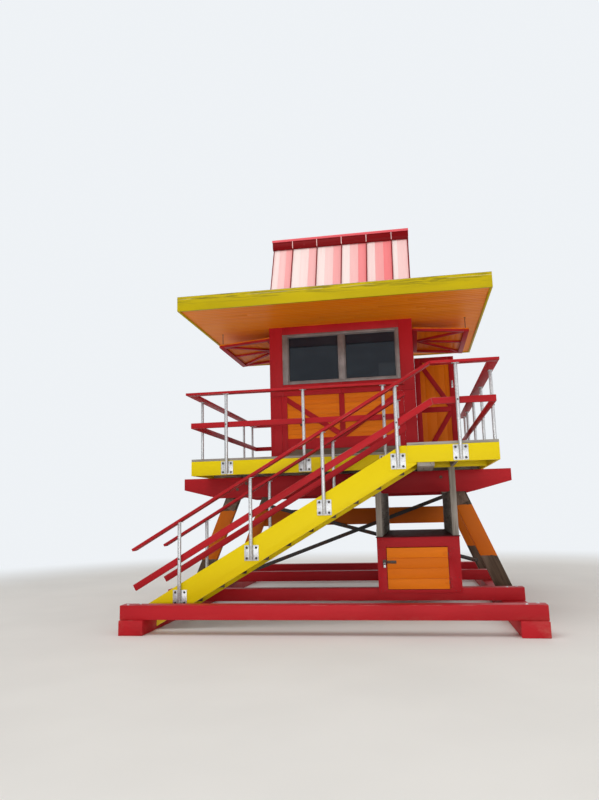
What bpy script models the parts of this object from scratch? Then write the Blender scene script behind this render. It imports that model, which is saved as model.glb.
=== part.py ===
# Beach lifeguard tower: a hut on a raised deck, carried by two pairs of
# splayed legs on a timber sledge base, with a stair along the front.
# Metres, +Z up, the front faces -Y, the ground is z = 0.
import math

import bmesh
import bpy
from mathutils import Matrix, Vector

# Gaps between pieces, and how far a cutting shape reaches past the surface
SEAT = 0.0003
SWING_GAP = 0.005
CUT_PAST = 0.01

# Sledge base
BASE_LENGTH = 6.42
BASE_WIDTH = 5.32
RUNNER_WIDTH = 0.33
RUNNER_HEIGHT = 0.19
RUNNER_ROUNDING = 0.012
BEAM_HEIGHT = 0.18
BEAM_DEPTH = 0.19
BEAM_SETBACK = 0.035
BEAM_BEHIND_STAIR = 0.118

# Deck and landing
DECK_TOP = 2.374
BOARD_THICKNESS = 0.038
RIM_HEIGHT = 0.226
RIM_THICKNESS = 0.038
DECK_WIDTH = 4.60
DECK_FRONT = -1.41
DECK_DEPTH = 4.42
LANDING_REACH = 1.326
LANDING_WIDTH = 1.178
LEDGER_WIDTH = 0.22
LEDGER_HEIGHT = 0.05
LEDGER_INSET = 0.01

# Legs, girders, ties and braces
LEG_BEHIND_BEAM = 0.742
LEG_PAIR_SPREAD = 2.764
LEG_THICKNESS = 0.09
LEG_WIDTH = 0.26
LEG_PAST_PANEL = 0.0045
GIRDER_HALF_LENGTH = 2.73
GIRDER_THICKNESS = 0.05
GIRDER_DEPTH = 0.345
GIRDER_END_DEPTH = 0.192
GIRDER_TAPER = 0.60
TIE_TOP = 1.540
TIE_HEIGHT = 0.327
TIE_THICKNESS = 0.038
LEFT_BRACE_HIGH = 1.64
LEFT_BRACE_LOW = 0.46
RIGHT_BRACE_HIGH = 1.745
RIGHT_BRACE_LOW = 0.24
BRACE_WIDTH = 0.075
BRACE_THICKNESS = 0.008
BRACE_FLANGE = 0.045
BRACE_LAP = 0.06

# Storage box between the inner beams, and the posts on it
BOX_LEFT = 0.60
BOX_WIDTH = 1.20
BOX_TOP = 1.10
BOX_WALL = 0.035
BOX_FACE_THICKNESS = 0.030
BOX_FACE_LAP = 0.064
BOX_SIDE_STILE = 0.135
BOX_TOP_RAIL = 0.145
BOX_DOOR_LAP = 0.020
BOX_DOOR_WIDTH = 0.88
BOX_DOOR_THICKNESS = 0.028
BOX_HINGE_INSET = 0.10
BOX_FIXED_LEAF = 0.04
BOX_DOOR_LEAF = 0.06
POST_SIZE = 0.089
POST_PANEL = 0.03

# Stair
STEP_RISE = 0.1978
STEP_RUN = 0.3445
STEP_COUNT = 10
TREAD_DEPTH = 0.28
TREAD_THICKNESS = 0.038
CLEAT_HEIGHT = 0.089
CLEAT_THICKNESS = 0.038
CLEAT_INSET = 0.024
STRINGER_THICKNESS = 0.038
STRINGER_DEPTH = 0.315
STRINGER_TOP_CUT = 0.085
STRINGER_HEEL = 0.115
TREAD_BELOW_EDGE = 0.023
STAIR_WIDTH = 1.16

# Railings
RAIL_HEIGHT = 1.069
TOP_RAIL_WIDTH = 0.140
TOP_RAIL_THICKNESS = 0.038
TOP_RAIL_OUTSIDE = 0.045
MID_RAIL_DROP = 0.486
MID_RAIL_HEIGHT = 0.089
MID_RAIL_THICKNESS = 0.038
TUBE_RADIUS = 0.0242
TUBE_SIDES = 10
PLATE_THICKNESS = 0.006
PLATE_WIDTH = 0.195
PLATE_HEIGHT = 0.205
WELD = 0.002
TUBE_DOWN_PLATE = 0.084
RAIL_KINK = 1.47
RAIL_LOW_END = -2.675
STAIR_POST_FIRST = -2.0
STAIR_POST_SPACING = 1.0
STAIR_POST_COUNT = 4
LANDING_POST = 1.81
FRONT_POST_FIRST = -1.71
FRONT_POST_SPACING = 1.25
FRONT_POST_COUNT = 3
SIDE_POST_LAST = 2.816
SIDE_POST_FIRST = -0.754
SIDE_POST_SPACING = 1.41
SIDE_POST_COUNT = 3
LANDING_SIDE_POST = -2.10
REAR_POST_SPACING = 1.25

# Hut
HUT_WIDTH = 2.606
HUT_FRONT = 0.045
HUT_DEPTH = 2.03
WALL_THICKNESS = 0.10
SOFFIT = 4.865
WINDOW_WIDTH = 2.12
WINDOW_BOTTOM = 3.782
WINDOW_HEIGHT = 0.935
WINDOW_FRAME = 0.045
WINDOW_MULLION = 0.07
WINDOW_FRAME_DEPTH = 0.06
WINDOW_PROUD = 0.012
GLASS_THICKNESS = 0.006
SIDE_OPENING_INSET = 0.28
SIDE_OPENING_BOTTOM = 3.80
SIDE_OPENING_HEIGHT = 0.80
DOORWAY_WIDTH = 0.61
DOORWAY_HEIGHT = 2.15
CORNER_TRIM = 0.022
CORNER_TRIM_WIDTH = 0.10

# Hut door, stored swung right back beside the hut
DOOR_WIDTH = 0.795
DOOR_HEIGHT = 2.20
DOOR_FLOOR_GAP = 0.010
DOOR_BOARDS = 0.025
DOOR_FRAME = 0.020
DOOR_STILE = 0.105
DOOR_MID_RAIL = 1.05
HINGE_RADIUS = 0.007
HINGE_LEAF = 0.004
HINGE_KNUCKLE = 0.05
HINGE_REACH = 0.0125
HINGE_INSET = 0.25
HINGE_LEAF_LENGTH = 0.03

# Shutters held open at both sides of the hut
SHUTTER_LENGTH = 1.00
SHUTTER_WIDTH = 1.75
SHUTTER_BOARDS = 0.018
SHUTTER_FRAME = 0.09
SHUTTER_FRAME_THICKNESS = 0.038
SHUTTER_RIB = 0.07
SHUTTER_DROOP = 4.8
SHUTTER_HINGE_HEIGHT = 4.715
STAY_RADIUS = 0.006
STAY_INSET = 0.06

# Roof
ROOF_WIDTH = 5.10
ROOF_DEPTH = 4.43
ROOF_FRONT = -1.417
FASCIA_THICKNESS = 0.038
FASCIA_BOTTOM = 4.849
FASCIA_HEIGHT = 0.25
ROOF_RECESS = 0.012
CAP_WIDTH = 2.64
CAP_DEPTH = 1.50
CAP_HEIGHT = 1.72
CAP_SHEET = 0.05
CAP_EAVES_WALL = 0.06
CAP_PEAK_WALL = 0.15
RIDGE_WIDTH = 0.27
RIDGE_HEIGHT = 0.15
RIDGE_OVERHANG = 0.02
RIDGE_PITCH = 0.03
RIDGE_TOP = 6.875

# Sizes that follow
BASE_X = BASE_WIDTH / 2
BASE_Y = BASE_LENGTH / 2
BEAM_TOP = RUNNER_HEIGHT + SEAT + BEAM_HEIGHT
DECK_X = DECK_WIDTH / 2
DECK_REAR = DECK_FRONT + DECK_DEPTH
BOARDS_UNDERSIDE = DECK_TOP - BOARD_THICKNESS
RIM_TOP = BOARDS_UNDERSIDE - SEAT
RIM_BOTTOM = RIM_TOP - RIM_HEIGHT
LANDING_LEFT = DECK_X - LANDING_WIDTH
LANDING_FRONT = DECK_FRONT - LANDING_REACH
STAIR_BACK = LANDING_FRONT + STAIR_WIDTH
INNER_BEAM_REACH = -(STAIR_BACK + BEAM_BEHIND_STAIR)
REAR_LEGS = INNER_BEAM_REACH + LEG_BEHIND_BEAM
FRONT_LEGS = REAR_LEGS - LEG_PAIR_SPREAD + LEG_THICKNESS
STEP_SLOPE = STEP_RISE / STEP_RUN
SLOPE_ANGLE = math.atan(STEP_SLOPE)
HUT_X = HUT_WIDTH / 2
HUT_REAR = HUT_FRONT + HUT_DEPTH
HUT_FLOOR = DECK_TOP + SEAT
WALL_TOP = SOFFIT - SEAT
POST_OUT = SEAT + PLATE_THICKNESS - WELD + TUBE_RADIUS
BOX_RIGHT = BOX_LEFT + BOX_WIDTH
BOX_FACE = -INNER_BEAM_REACH - SEAT - BOX_FACE_THICKNESS
BOX_REAR = INNER_BEAM_REACH
RAIL_TOP = DECK_TOP + RAIL_HEIGHT

# Paint and materials
RED = ((0.50, 0.012, 0.016), 0.45, 0.0)
YELLOW = ((0.83, 0.66, 0.01), 0.45, 0.0)
ORANGE = ((0.80, 0.24, 0.02), 0.50, 0.0)
GREY_WOOD = ((0.30, 0.28, 0.25), 0.85, 0.0)
DARK_STEEL = ((0.06, 0.055, 0.05), 0.55, 1.0)
ALUMINIUM = ((0.70, 0.71, 0.72), 0.35, 1.0)
GLASS = ((0.05, 0.07, 0.08), 0.05, 0.0)
METAL_ROOF = ((0.62, 0.10, 0.12), 0.40, 0.0)


def clear_scene():
    for ob in list(bpy.data.objects):
        bpy.data.objects.remove(ob, do_unlink=True)


def paint(name, finish):
    colour, roughness, metallic = finish
    mat = bpy.data.materials.new(name)
    mat.use_nodes = True
    shader = mat.node_tree.nodes["Principled BSDF"]
    shader.inputs["Base Color"].default_value = (*colour, 1.0)
    shader.inputs["Roughness"].default_value = roughness
    shader.inputs["Metallic"].default_value = metallic
    return mat


def add_object(name, bm, finish, origin=(0.0, 0.0, 0.0)):
    origin = Vector(origin)
    bmesh.ops.recalc_face_normals(bm, faces=bm.faces)
    bmesh.ops.translate(bm, verts=bm.verts, vec=-origin)
    mesh = bpy.data.meshes.new(name)
    bm.to_mesh(mesh)
    bm.free()
    ob = bpy.data.objects.new(name, mesh)
    ob.location = origin
    bpy.context.collection.objects.link(ob)
    mesh.materials.append(paint(name, finish))
    return ob


def block(x, y, z):
    """A plain block from three (low, high) pairs."""
    bm = bmesh.new()
    size = (x[1] - x[0], y[1] - y[0], z[1] - z[0])
    centre = ((x[0] + x[1]) / 2, (y[0] + y[1]) / 2, (z[0] + z[1]) / 2)
    place = Matrix.Translation(centre) @ Matrix.Diagonal((*size, 1.0))
    bmesh.ops.create_cube(bm, size=1.0, matrix=place)
    return bm


def board(outline, y):
    """An outline in X and Z, made as thick as the (low, high) pair y."""
    bm = bmesh.new()
    face = bm.faces.new([bm.verts.new((px, y[0], pz)) for px, pz in outline])
    pushed = bmesh.ops.extrude_face_region(bm, geom=[face])
    moved = [v for v in pushed["geom"] if isinstance(v, bmesh.types.BMVert)]
    bmesh.ops.translate(bm, verts=moved, vec=(0.0, y[1] - y[0], 0.0))
    return bm


def side_board(outline, x):
    """An outline in Y and Z, made as thick as the (low, high) pair x."""
    bm = board([(py, pz) for py, pz in outline], x)
    swap = Matrix(((0, 1, 0, 0), (1, 0, 0, 0), (0, 0, 1, 0), (0, 0, 0, 1)))
    bmesh.ops.transform(bm, matrix=swap, verts=bm.verts)
    return bm


def tube(x, y, z, radius=TUBE_RADIUS, sides=TUBE_SIDES):
    """An upright round bar at x, y from z[0] to z[1]."""
    bm = bmesh.new()
    place = Matrix.Translation((x, y, (z[0] + z[1]) / 2))
    bmesh.ops.create_cone(bm, cap_ends=True, segments=sides, radius1=radius,
                          radius2=radius, depth=z[1] - z[0], matrix=place)
    return bm


def turned(bm, centre, degrees, axis):
    spin = Matrix.Rotation(math.radians(degrees), 4, axis)
    place = Matrix.Translation(centre) @ spin @ Matrix.Translation(-Vector(centre))
    bmesh.ops.transform(bm, matrix=place, verts=bm.verts)
    return bm


def combined(name, first, others, finish, operation, origin=(0.0, 0.0, 0.0)):
    """One solid from a first shape and the shapes fused to it or cut from it."""
    ob = add_object(name, first, finish)
    tools = []
    for number, shape in enumerate(others):
        tool = add_object(f"{name}_tool_{number}", shape, finish)
        change = ob.modifiers.new(f"piece_{number}", "BOOLEAN")
        change.operation = operation
        change.solver = "EXACT"
        change.object = tool
        tools.append(tool)
    graph = bpy.context.evaluated_depsgraph_get()
    solid = bpy.data.meshes.new_from_object(ob.evaluated_get(graph))
    ob.modifiers.clear()
    bm = bmesh.new()
    bm.from_mesh(solid)
    bmesh.ops.remove_doubles(bm, verts=bm.verts, dist=0.00002)
    bmesh.ops.dissolve_limit(bm, angle_limit=math.radians(0.1),
                             verts=bm.verts, edges=bm.edges)
    for tool in tools:
        tool_mesh = tool.data
        tool_paint = tool_mesh.materials[0]
        bpy.data.objects.remove(tool, do_unlink=True)
        bpy.data.meshes.remove(tool_mesh)
        bpy.data.materials.remove(tool_paint)
    bpy.data.meshes.remove(solid)
    bmesh.ops.translate(bm, verts=bm.verts, vec=-Vector(origin))
    bm.to_mesh(ob.data)
    bm.free()
    ob.location = origin
    return ob


def fused(name, shapes, finish, origin=(0.0, 0.0, 0.0)):
    return combined(name, shapes[0], shapes[1:], finish, "UNION", origin)


def cut(name, shape, holes, finish, origin=(0.0, 0.0, 0.0)):
    return combined(name, shape, holes, finish, "DIFFERENCE", origin)


def reopened(ob):
    """The shape of a finished object, to work on further; the object goes."""
    bm = bmesh.new()
    bm.from_mesh(ob.data)
    old_mesh = ob.data
    old_paint = old_mesh.materials[0]
    bpy.data.objects.remove(ob, do_unlink=True)
    bpy.data.meshes.remove(old_mesh)
    bpy.data.materials.remove(old_paint)
    return bm


# Sledge base
def build_base():
    for side, name in ((-1, "runner_left"), (1, "runner_right")):
        outer = side * BASE_X
        inner = side * (BASE_X - RUNNER_WIDTH)
        bm = block(sorted((outer, inner)), (-BASE_Y, BASE_Y), (0.0, RUNNER_HEIGHT))
        lengthwise = [e for e in bm.edges
                      if abs(e.verts[0].co.y - e.verts[1].co.y) > BASE_Y
                      and e.verts[0].co.z > RUNNER_HEIGHT / 2]
        bmesh.ops.bevel(bm, geom=lengthwise, offset=RUNNER_ROUNDING, segments=2,
                        profile=0.5, affect="EDGES")
        add_object(name, bm, RED)
    outer_beam = BASE_Y - BEAM_SETBACK
    fronts = (-outer_beam, -INNER_BEAM_REACH,
              INNER_BEAM_REACH - BEAM_DEPTH, outer_beam - BEAM_DEPTH)
    for number, front in enumerate(fronts):
        add_object(f"base_beam_{number + 1}",
                   block((-BASE_X, BASE_X), (front, front + BEAM_DEPTH),
                         (RUNNER_HEIGHT + SEAT, BEAM_TOP)), RED)


# Legs, girders and braces
LEG_FOOT = RUNNER_HEIGHT + SEAT
LEG_HEAD = RIM_BOTTOM - SEAT
LEG_FOOT_REACH = BASE_X - LEG_WIDTH / 2
# The legs' tops: just clear of the post panel where the girder's underside crosses
POST_PANEL_OUTSIDE = BOX_RIGHT - POST_SIZE + POST_PANEL
GIRDER_SHARE = GIRDER_DEPTH / (LEG_HEAD - LEG_FOOT)
LEG_TOP_REACH = ((POST_PANEL_OUTSIDE + LEG_PAST_PANEL + LEG_WIDTH / 2
                  - GIRDER_SHARE * LEG_FOOT_REACH) / (1 - GIRDER_SHARE))
LEG_LEAN = (LEG_FOOT_REACH - LEG_TOP_REACH) / (LEG_HEAD - LEG_FOOT)


def leg_centre(z):
    return LEG_TOP_REACH + LEG_LEAN * (LEG_HEAD - z)


def build_leg(name, side, front):
    half = LEG_WIDTH / 2
    outline = [(side * (leg_centre(z) + off), z)
               for z, off in ((LEG_FOOT, -half), (LEG_FOOT, half),
                              (LEG_HEAD, half), (LEG_HEAD, -half))]
    add_object(name, board(outline, (front, front + LEG_THICKNESS)), ORANGE)


def build_girder(name, front):
    top = RIM_BOTTOM - SEAT
    low = top - GIRDER_DEPTH
    end = top - GIRDER_END_DEPTH
    inner = GIRDER_HALF_LENGTH - GIRDER_TAPER
    outline = [(-GIRDER_HALF_LENGTH, top), (-GIRDER_HALF_LENGTH, end),
               (-inner, low), (inner, low),
               (GIRDER_HALF_LENGTH, end), (GIRDER_HALF_LENGTH, top)]
    add_object(name, board(outline, (front, front + GIRDER_THICKNESS)), RED)


def build_tie(name, leg_front):
    low = TIE_TOP - TIE_HEIGHT
    half = LEG_WIDTH / 2 + SEAT
    upper = leg_centre(TIE_TOP) - half
    lower = leg_centre(low) - half
    outline = [(-lower, low), (lower, low), (upper, TIE_TOP), (-upper, TIE_TOP)]
    back = leg_front + LEG_THICKNESS
    add_object(name, board(outline, (back - TIE_THICKNESS, back)), ORANGE)


def build_brace(name, rises, low, high, flat_front, flange_forward):
    """An angle-iron diagonal between the rear legs; rises is +1 or -1."""
    high_x = leg_centre(high) - LEG_WIDTH / 2 + BRACE_LAP
    low_x = leg_centre(low) - LEG_WIDTH / 2 + BRACE_LAP
    run = high_x + low_x
    climb = high - low
    length = math.hypot(run, climb)
    angle = math.degrees(math.atan2(climb, run))
    centre_x = rises * (high_x - low_x) / 2
    centre_z = (high + low) / 2
    flat = block((-length / 2, length / 2),
                 (flat_front, flat_front + BRACE_THICKNESS),
                 (-BRACE_WIDTH / 2, BRACE_WIDTH / 2))
    clear_end = BRACE_LAP / math.cos(math.radians(angle)) + BRACE_WIDTH
    half = length / 2 - clear_end
    low_edge = -BRACE_WIDTH / 2
    if flange_forward:
        depth = (flat_front - BRACE_FLANGE, flat_front + BRACE_THICKNESS / 2)
    else:
        depth = (flat_front + BRACE_THICKNESS / 2,
                 flat_front + BRACE_THICKNESS + BRACE_FLANGE)
    flange = block((-half, half), depth, (low_edge, low_edge + BRACE_THICKNESS))
    for shape in (flat, flange):
        turned(shape, (0.0, 0.0, 0.0), -rises * angle, "Y")
        bmesh.ops.translate(shape, verts=shape.verts,
                            vec=(centre_x, 0.0, centre_z))
    fused(name, [flat, flange], DARK_STEEL)


def build_supports():
    for row, front in (("front", FRONT_LEGS), ("rear", REAR_LEGS)):
        build_leg(f"leg_{row}_left", -1, front)
        build_leg(f"leg_{row}_right", 1, front)
    build_tie("tie_beam_rear", REAR_LEGS)
    build_girder("girder_front", FRONT_LEGS - SEAT - GIRDER_THICKNESS)
    build_girder("girder_rear", REAR_LEGS + LEG_THICKNESS + SEAT)
    nearest = REAR_LEGS - SEAT - BRACE_THICKNESS
    build_brace("brace_rising_left", -1, LEFT_BRACE_LOW, LEFT_BRACE_HIGH,
                nearest, False)
    build_brace("brace_rising_right", 1, RIGHT_BRACE_LOW, RIGHT_BRACE_HIGH,
                nearest - SEAT - BRACE_THICKNESS, True)


# Deck and landing
def build_deck():
    left_post = BOX_LEFT + POST_SIZE / 2
    right_post = BOX_RIGHT - POST_SIZE / 2
    middle = (left_post + right_post) / 2
    half_joist = RIM_THICKNESS / 2
    over_posts = (left_post, middle, right_post)
    joists = sorted([0.0] + [s * x for x in over_posts for s in (-1, 1)])
    edges = [-DECK_X + RIM_THICKNESS]
    for x in joists:
        edges += [x - half_joist, x + half_joist]
    edges.append(DECK_X - RIM_THICKNESS)
    past = (RIM_BOTTOM - CUT_PAST, RIM_TOP + CUT_PAST)
    bays = [block((edges[i], edges[i + 1]),
                  (DECK_FRONT + RIM_THICKNESS, DECK_REAR - RIM_THICKNESS), past)
            for i in range(0, len(edges), 2)]
    cut("deck_frame", block((-DECK_X, DECK_X), (DECK_FRONT, DECK_REAR),
                            (RIM_BOTTOM, RIM_TOP)), bays, YELLOW)
    add_object("deck_boards", block((-DECK_X, DECK_X), (DECK_FRONT, DECK_REAR),
                                    (BOARDS_UNDERSIDE, DECK_TOP)), GREY_WOOD)

    landing_y = (LANDING_FRONT, DECK_FRONT - SEAT)
    landing_x = (LANDING_LEFT, DECK_X)
    inner_y = (LANDING_FRONT + RIM_THICKNESS, DECK_FRONT - SEAT - RIM_THICKNESS)
    bays = [block((LANDING_LEFT + RIM_THICKNESS, right_post - half_joist),
                  inner_y, past),
            block((right_post + half_joist, DECK_X - RIM_THICKNESS),
                  inner_y, past)]
    rim = cut("landing_frame", block(landing_x, landing_y, (RIM_BOTTOM, RIM_TOP)),
              bays, YELLOW)
    ledger_left = LANDING_LEFT + STRINGER_HEEL + LEDGER_INSET
    ledger = block((ledger_left, ledger_left + LEDGER_WIDTH),
                   (LANDING_FRONT + RIM_THICKNESS / 2, DECK_FRONT - RIM_THICKNESS),
                   (RIM_BOTTOM - LEDGER_HEIGHT, RIM_BOTTOM + WELD))
    fused("landing_frame", [reopened(rim), ledger], YELLOW)
    add_object("landing_boards", block(landing_x, landing_y,
                                       (BOARDS_UNDERSIDE, DECK_TOP)), GREY_WOOD)


# Storage box and its posts
BOX_DOORWAY_RIGHT = BOX_LEFT + BOX_SIDE_STILE + BOX_DOOR_WIDTH + 2 * SWING_GAP
BOX_DOORWAY_LOW = BEAM_TOP - BOX_DOOR_LAP
BOX_DOORWAY_HIGH = BOX_TOP - BOX_TOP_RAIL
BOX_HINGE_HEIGHTS = (BOX_DOORWAY_LOW + BOX_HINGE_INSET, BOX_DOORWAY_HIGH - BOX_HINGE_INSET)
BOX_HINGE_X = BOX_DOORWAY_RIGHT - SWING_GAP / 2
BOX_HINGE_Y = BOX_FACE - HINGE_RADIUS - HINGE_LEAF / 2


def build_storage_box():
    inside_x = (BOX_LEFT + BOX_WALL, BOX_RIGHT - BOX_WALL)
    low = BEAM_TOP + SEAT
    body = block((BOX_LEFT, BOX_RIGHT), (-INNER_BEAM_REACH, BOX_REAR), (low, BOX_TOP))
    face = block((BOX_LEFT, BOX_RIGHT),
                 (BOX_FACE, -INNER_BEAM_REACH + BOX_WALL / 2),
                 (low + WELD, BOX_TOP))
    apron = block((BOX_LEFT, BOX_RIGHT),
                  (BOX_FACE, BOX_FACE + BOX_FACE_THICKNESS),
                  (low - BOX_FACE_LAP, low + 2 * WELD))
    shapes = [body, face, apron]
    for z in BOX_HINGE_HEIGHTS:
        for step in (-1, 1):
            z_mid = z + step * HINGE_KNUCKLE
            span = (z_mid - HINGE_KNUCKLE / 2 + SEAT, z_mid + HINGE_KNUCKLE / 2 - SEAT)
            shapes.append(tube(BOX_HINGE_X, BOX_HINGE_Y, span, HINGE_RADIUS, 10))
            shapes.append(block((BOX_HINGE_X, BOX_HINGE_X + BOX_FIXED_LEAF),
                                (BOX_FACE - HINGE_LEAF, BOX_FACE + WELD), span))
    blank = reopened(fused("storage_box", shapes, RED))
    room = block(inside_x, (-INNER_BEAM_REACH + BOX_WALL / 2, BOX_REAR - BOX_WALL),
                 (low + BOX_WALL, BOX_TOP - BOX_WALL))
    beside_knuckles = BOX_HINGE_X - HINGE_RADIUS - SWING_GAP
    mouth = block((BOX_LEFT + BOX_SIDE_STILE, beside_knuckles),
                  (BOX_FACE - 3 * CUT_PAST, -INNER_BEAM_REACH + BOX_WALL),
                  (BOX_DOORWAY_LOW, BOX_DOORWAY_HIGH))
    mouth_edge = block((beside_knuckles - WELD, BOX_DOORWAY_RIGHT),
                       (BOX_FACE - WELD / 4, -INNER_BEAM_REACH + BOX_WALL),
                       (BOX_DOORWAY_LOW, BOX_DOORWAY_HIGH))
    cut("storage_box", blank, [room, mouth, mouth_edge], RED)


def build_box_door():
    door_left = BOX_LEFT + BOX_SIDE_STILE + SWING_GAP
    door_right = BOX_HINGE_X - SWING_GAP / 2
    panel = block((door_left, door_right), (BOX_FACE, BOX_FACE + BOX_DOOR_THICKNESS),
                  (BOX_DOORWAY_LOW + SWING_GAP, BOX_DOORWAY_HIGH - SWING_GAP))
    shapes = [panel]
    for z in BOX_HINGE_HEIGHTS:
        span = (z - HINGE_KNUCKLE / 2 + SEAT, z + HINGE_KNUCKLE / 2 - SEAT)
        shapes.append(tube(BOX_HINGE_X, BOX_HINGE_Y, span, HINGE_RADIUS, 10))
        shapes.append(block((BOX_HINGE_X - BOX_DOOR_LEAF, BOX_HINGE_X),
                            (BOX_FACE - HINGE_LEAF, BOX_FACE + WELD), span))
    fused("box_door", shapes, ORANGE, (BOX_HINGE_X, BOX_HINGE_Y, 0.0))


def build_posts():
    """Four posts; a board panel on each side of the box fills the space below the girder."""
    height = (BOX_TOP + SEAT, RIM_BOTTOM - SEAT)
    panel_z = (BOX_TOP + SEAT, RIM_BOTTOM - SEAT - GIRDER_DEPTH - SEAT)
    rear = BOX_REAR - POST_SIZE
    columns = (("left", BOX_LEFT, BOX_LEFT + POST_SIZE - POST_PANEL),
               ("right", BOX_RIGHT - POST_SIZE, BOX_RIGHT - POST_SIZE))
    for column, x, inner in columns:
        post = block((x, x + POST_SIZE), (DECK_FRONT, DECK_FRONT + POST_SIZE), height)
        panel = block((inner, inner + POST_PANEL),
                      (DECK_FRONT + POST_SIZE - WELD, rear - SEAT), panel_z)
        fused(f"deck_post_front_{column}", [post, panel], GREY_WOOD)
        add_object(f"deck_post_rear_{column}",
                   block((x, x + POST_SIZE), (rear, rear + POST_SIZE), height), GREY_WOOD)


# Stair
FRONT_STRINGER = (LANDING_FRONT, LANDING_FRONT + STRINGER_THICKNESS)
BACK_STRINGER = (STAIR_BACK - STRINGER_THICKNESS, STAIR_BACK)
STRINGER_HEAD = LANDING_LEFT - SEAT


def stringer_edge(x):
    """Height of the stringer's top edge at x."""
    return RIM_TOP + STEP_SLOPE * (x - (STRINGER_HEAD - STRINGER_TOP_CUT))


def build_stringer(name, y):
    """Notched over the runner at the foot, cut square under the landing at the head."""
    drop = STRINGER_DEPTH / math.cos(SLOPE_ANGLE)
    seat = RUNNER_HEIGHT + SEAT
    runner_edge = -BASE_X + RUNNER_WIDTH + SEAT
    heel_x = STRINGER_HEAD + STRINGER_HEEL
    heel_z = RIM_BOTTOM - SEAT
    foot_low = max(stringer_edge(runner_edge) - drop, 0.0)
    foot_x = (foot_low + drop - stringer_edge(0.0)) / STEP_SLOPE
    heel_low = stringer_edge(heel_x) - drop
    outline = [(-BASE_X, stringer_edge(-BASE_X)), (-BASE_X, seat),
               (runner_edge, seat), (runner_edge, foot_low)]
    if foot_x > runner_edge + SEAT:
        outline.append((foot_x, foot_low))
    if heel_low < heel_z:
        outline += [(heel_x, heel_low), (heel_x, heel_z)]
    else:
        outline.append(((heel_z + drop - stringer_edge(0.0)) / STEP_SLOPE, heel_z))
    outline += [(STRINGER_HEAD, heel_z), (STRINGER_HEAD, RIM_TOP),
                (STRINGER_HEAD - STRINGER_TOP_CUT, RIM_TOP)]
    add_object(name, board(outline, y), YELLOW)


def build_stair():
    build_stringer("stringer_front", FRONT_STRINGER)
    build_stringer("stringer_back", BACK_STRINGER)
    between = (FRONT_STRINGER[1] + SEAT, BACK_STRINGER[0] - SEAT)
    for step in range(1, STEP_COUNT + 1):
        top = DECK_TOP - step * STEP_RISE
        nose = (top + TREAD_BELOW_EDGE - stringer_edge(0.0)) / STEP_SLOPE
        under = top - TREAD_THICKNESS
        shapes = [block((nose, nose + TREAD_DEPTH), between, (under, top))]
        for edge, inward in ((between[0], 1), (between[1], -1)):
            shapes.append(block((nose + CLEAT_INSET, nose + TREAD_DEPTH - CLEAT_INSET),
                                sorted((edge, edge + inward * CLEAT_THICKNESS)),
                                (under - CLEAT_HEIGHT, under + WELD)))
        fused(f"tread_{STEP_COUNT + 1 - step:02d}", shapes, GREY_WOOD)


# Railings
def rail_outline(start, kink, end, top, thickness):
    """A rail that climbs at the stair's slope to a kink, then runs level."""
    sine, cosine = math.sin(SLOPE_ANGLE), math.cos(SLOPE_ANGLE)
    low_top = top - STEP_SLOPE * (kink - start)
    outline = [(start, low_top)]
    outline.append((start + thickness * sine, low_top - thickness * cosine))
    if end > kink:
        outline.append((kink + thickness * math.tan(SLOPE_ANGLE / 2), top - thickness))
        outline += [(end, top - thickness), (end, top), (kink, top)]
    else:
        high = top - STEP_SLOPE * (kink - end)
        outline += [(end, high - thickness / cosine), (end, high)]
    return outline


def rail_height(x, kink):
    return RAIL_TOP - STEP_SLOPE * max(0.0, kink - x)


def stair_railing(name, face, outward, end, flat_posts):
    """face is the y of the board the plates are on; outward is +1 or -1."""
    post_y = face + outward * POST_OUT
    rail_y = sorted((post_y + outward * TOP_RAIL_OUTSIDE,
                     post_y + outward * (TOP_RAIL_OUTSIDE - TOP_RAIL_WIDTH)))
    inner = post_y - outward * (TUBE_RADIUS - WELD)
    mid_y = sorted((inner, inner - outward * MID_RAIL_THICKNESS))
    mid_top = RAIL_TOP - MID_RAIL_DROP
    top_end, mid_end = end
    shapes = [board(rail_outline(RAIL_LOW_END, RAIL_KINK, top_end, RAIL_TOP,
                                 TOP_RAIL_THICKNESS), rail_y),
              board(rail_outline(RAIL_LOW_END, RAIL_KINK, mid_end, mid_top,
                                 MID_RAIL_HEIGHT), mid_y)]
    half_drop = STRINGER_DEPTH / math.cos(SLOPE_ANGLE) / 2
    posts = [STAIR_POST_FIRST + i * STAIR_POST_SPACING
             for i in range(STAIR_POST_COUNT)]
    plate_y = sorted((face + outward * SEAT, face + outward * (SEAT + PLATE_THICKNESS)))
    for x in posts + flat_posts:
        if x in flat_posts:
            z = (RIM_TOP + RIM_BOTTOM) / 2
        else:
            z = stringer_edge(x) - half_drop
        shapes.append(block((x - PLATE_WIDTH / 2, x + PLATE_WIDTH / 2), plate_y,
                            (z - PLATE_HEIGHT / 2, z + PLATE_HEIGHT / 2)))
        head = rail_height(x, RAIL_KINK) - TOP_RAIL_THICKNESS / 2
        shapes.append(tube(x, post_y, (z - TUBE_DOWN_PLATE, head)))
    fused(name, shapes, RED)


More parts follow.
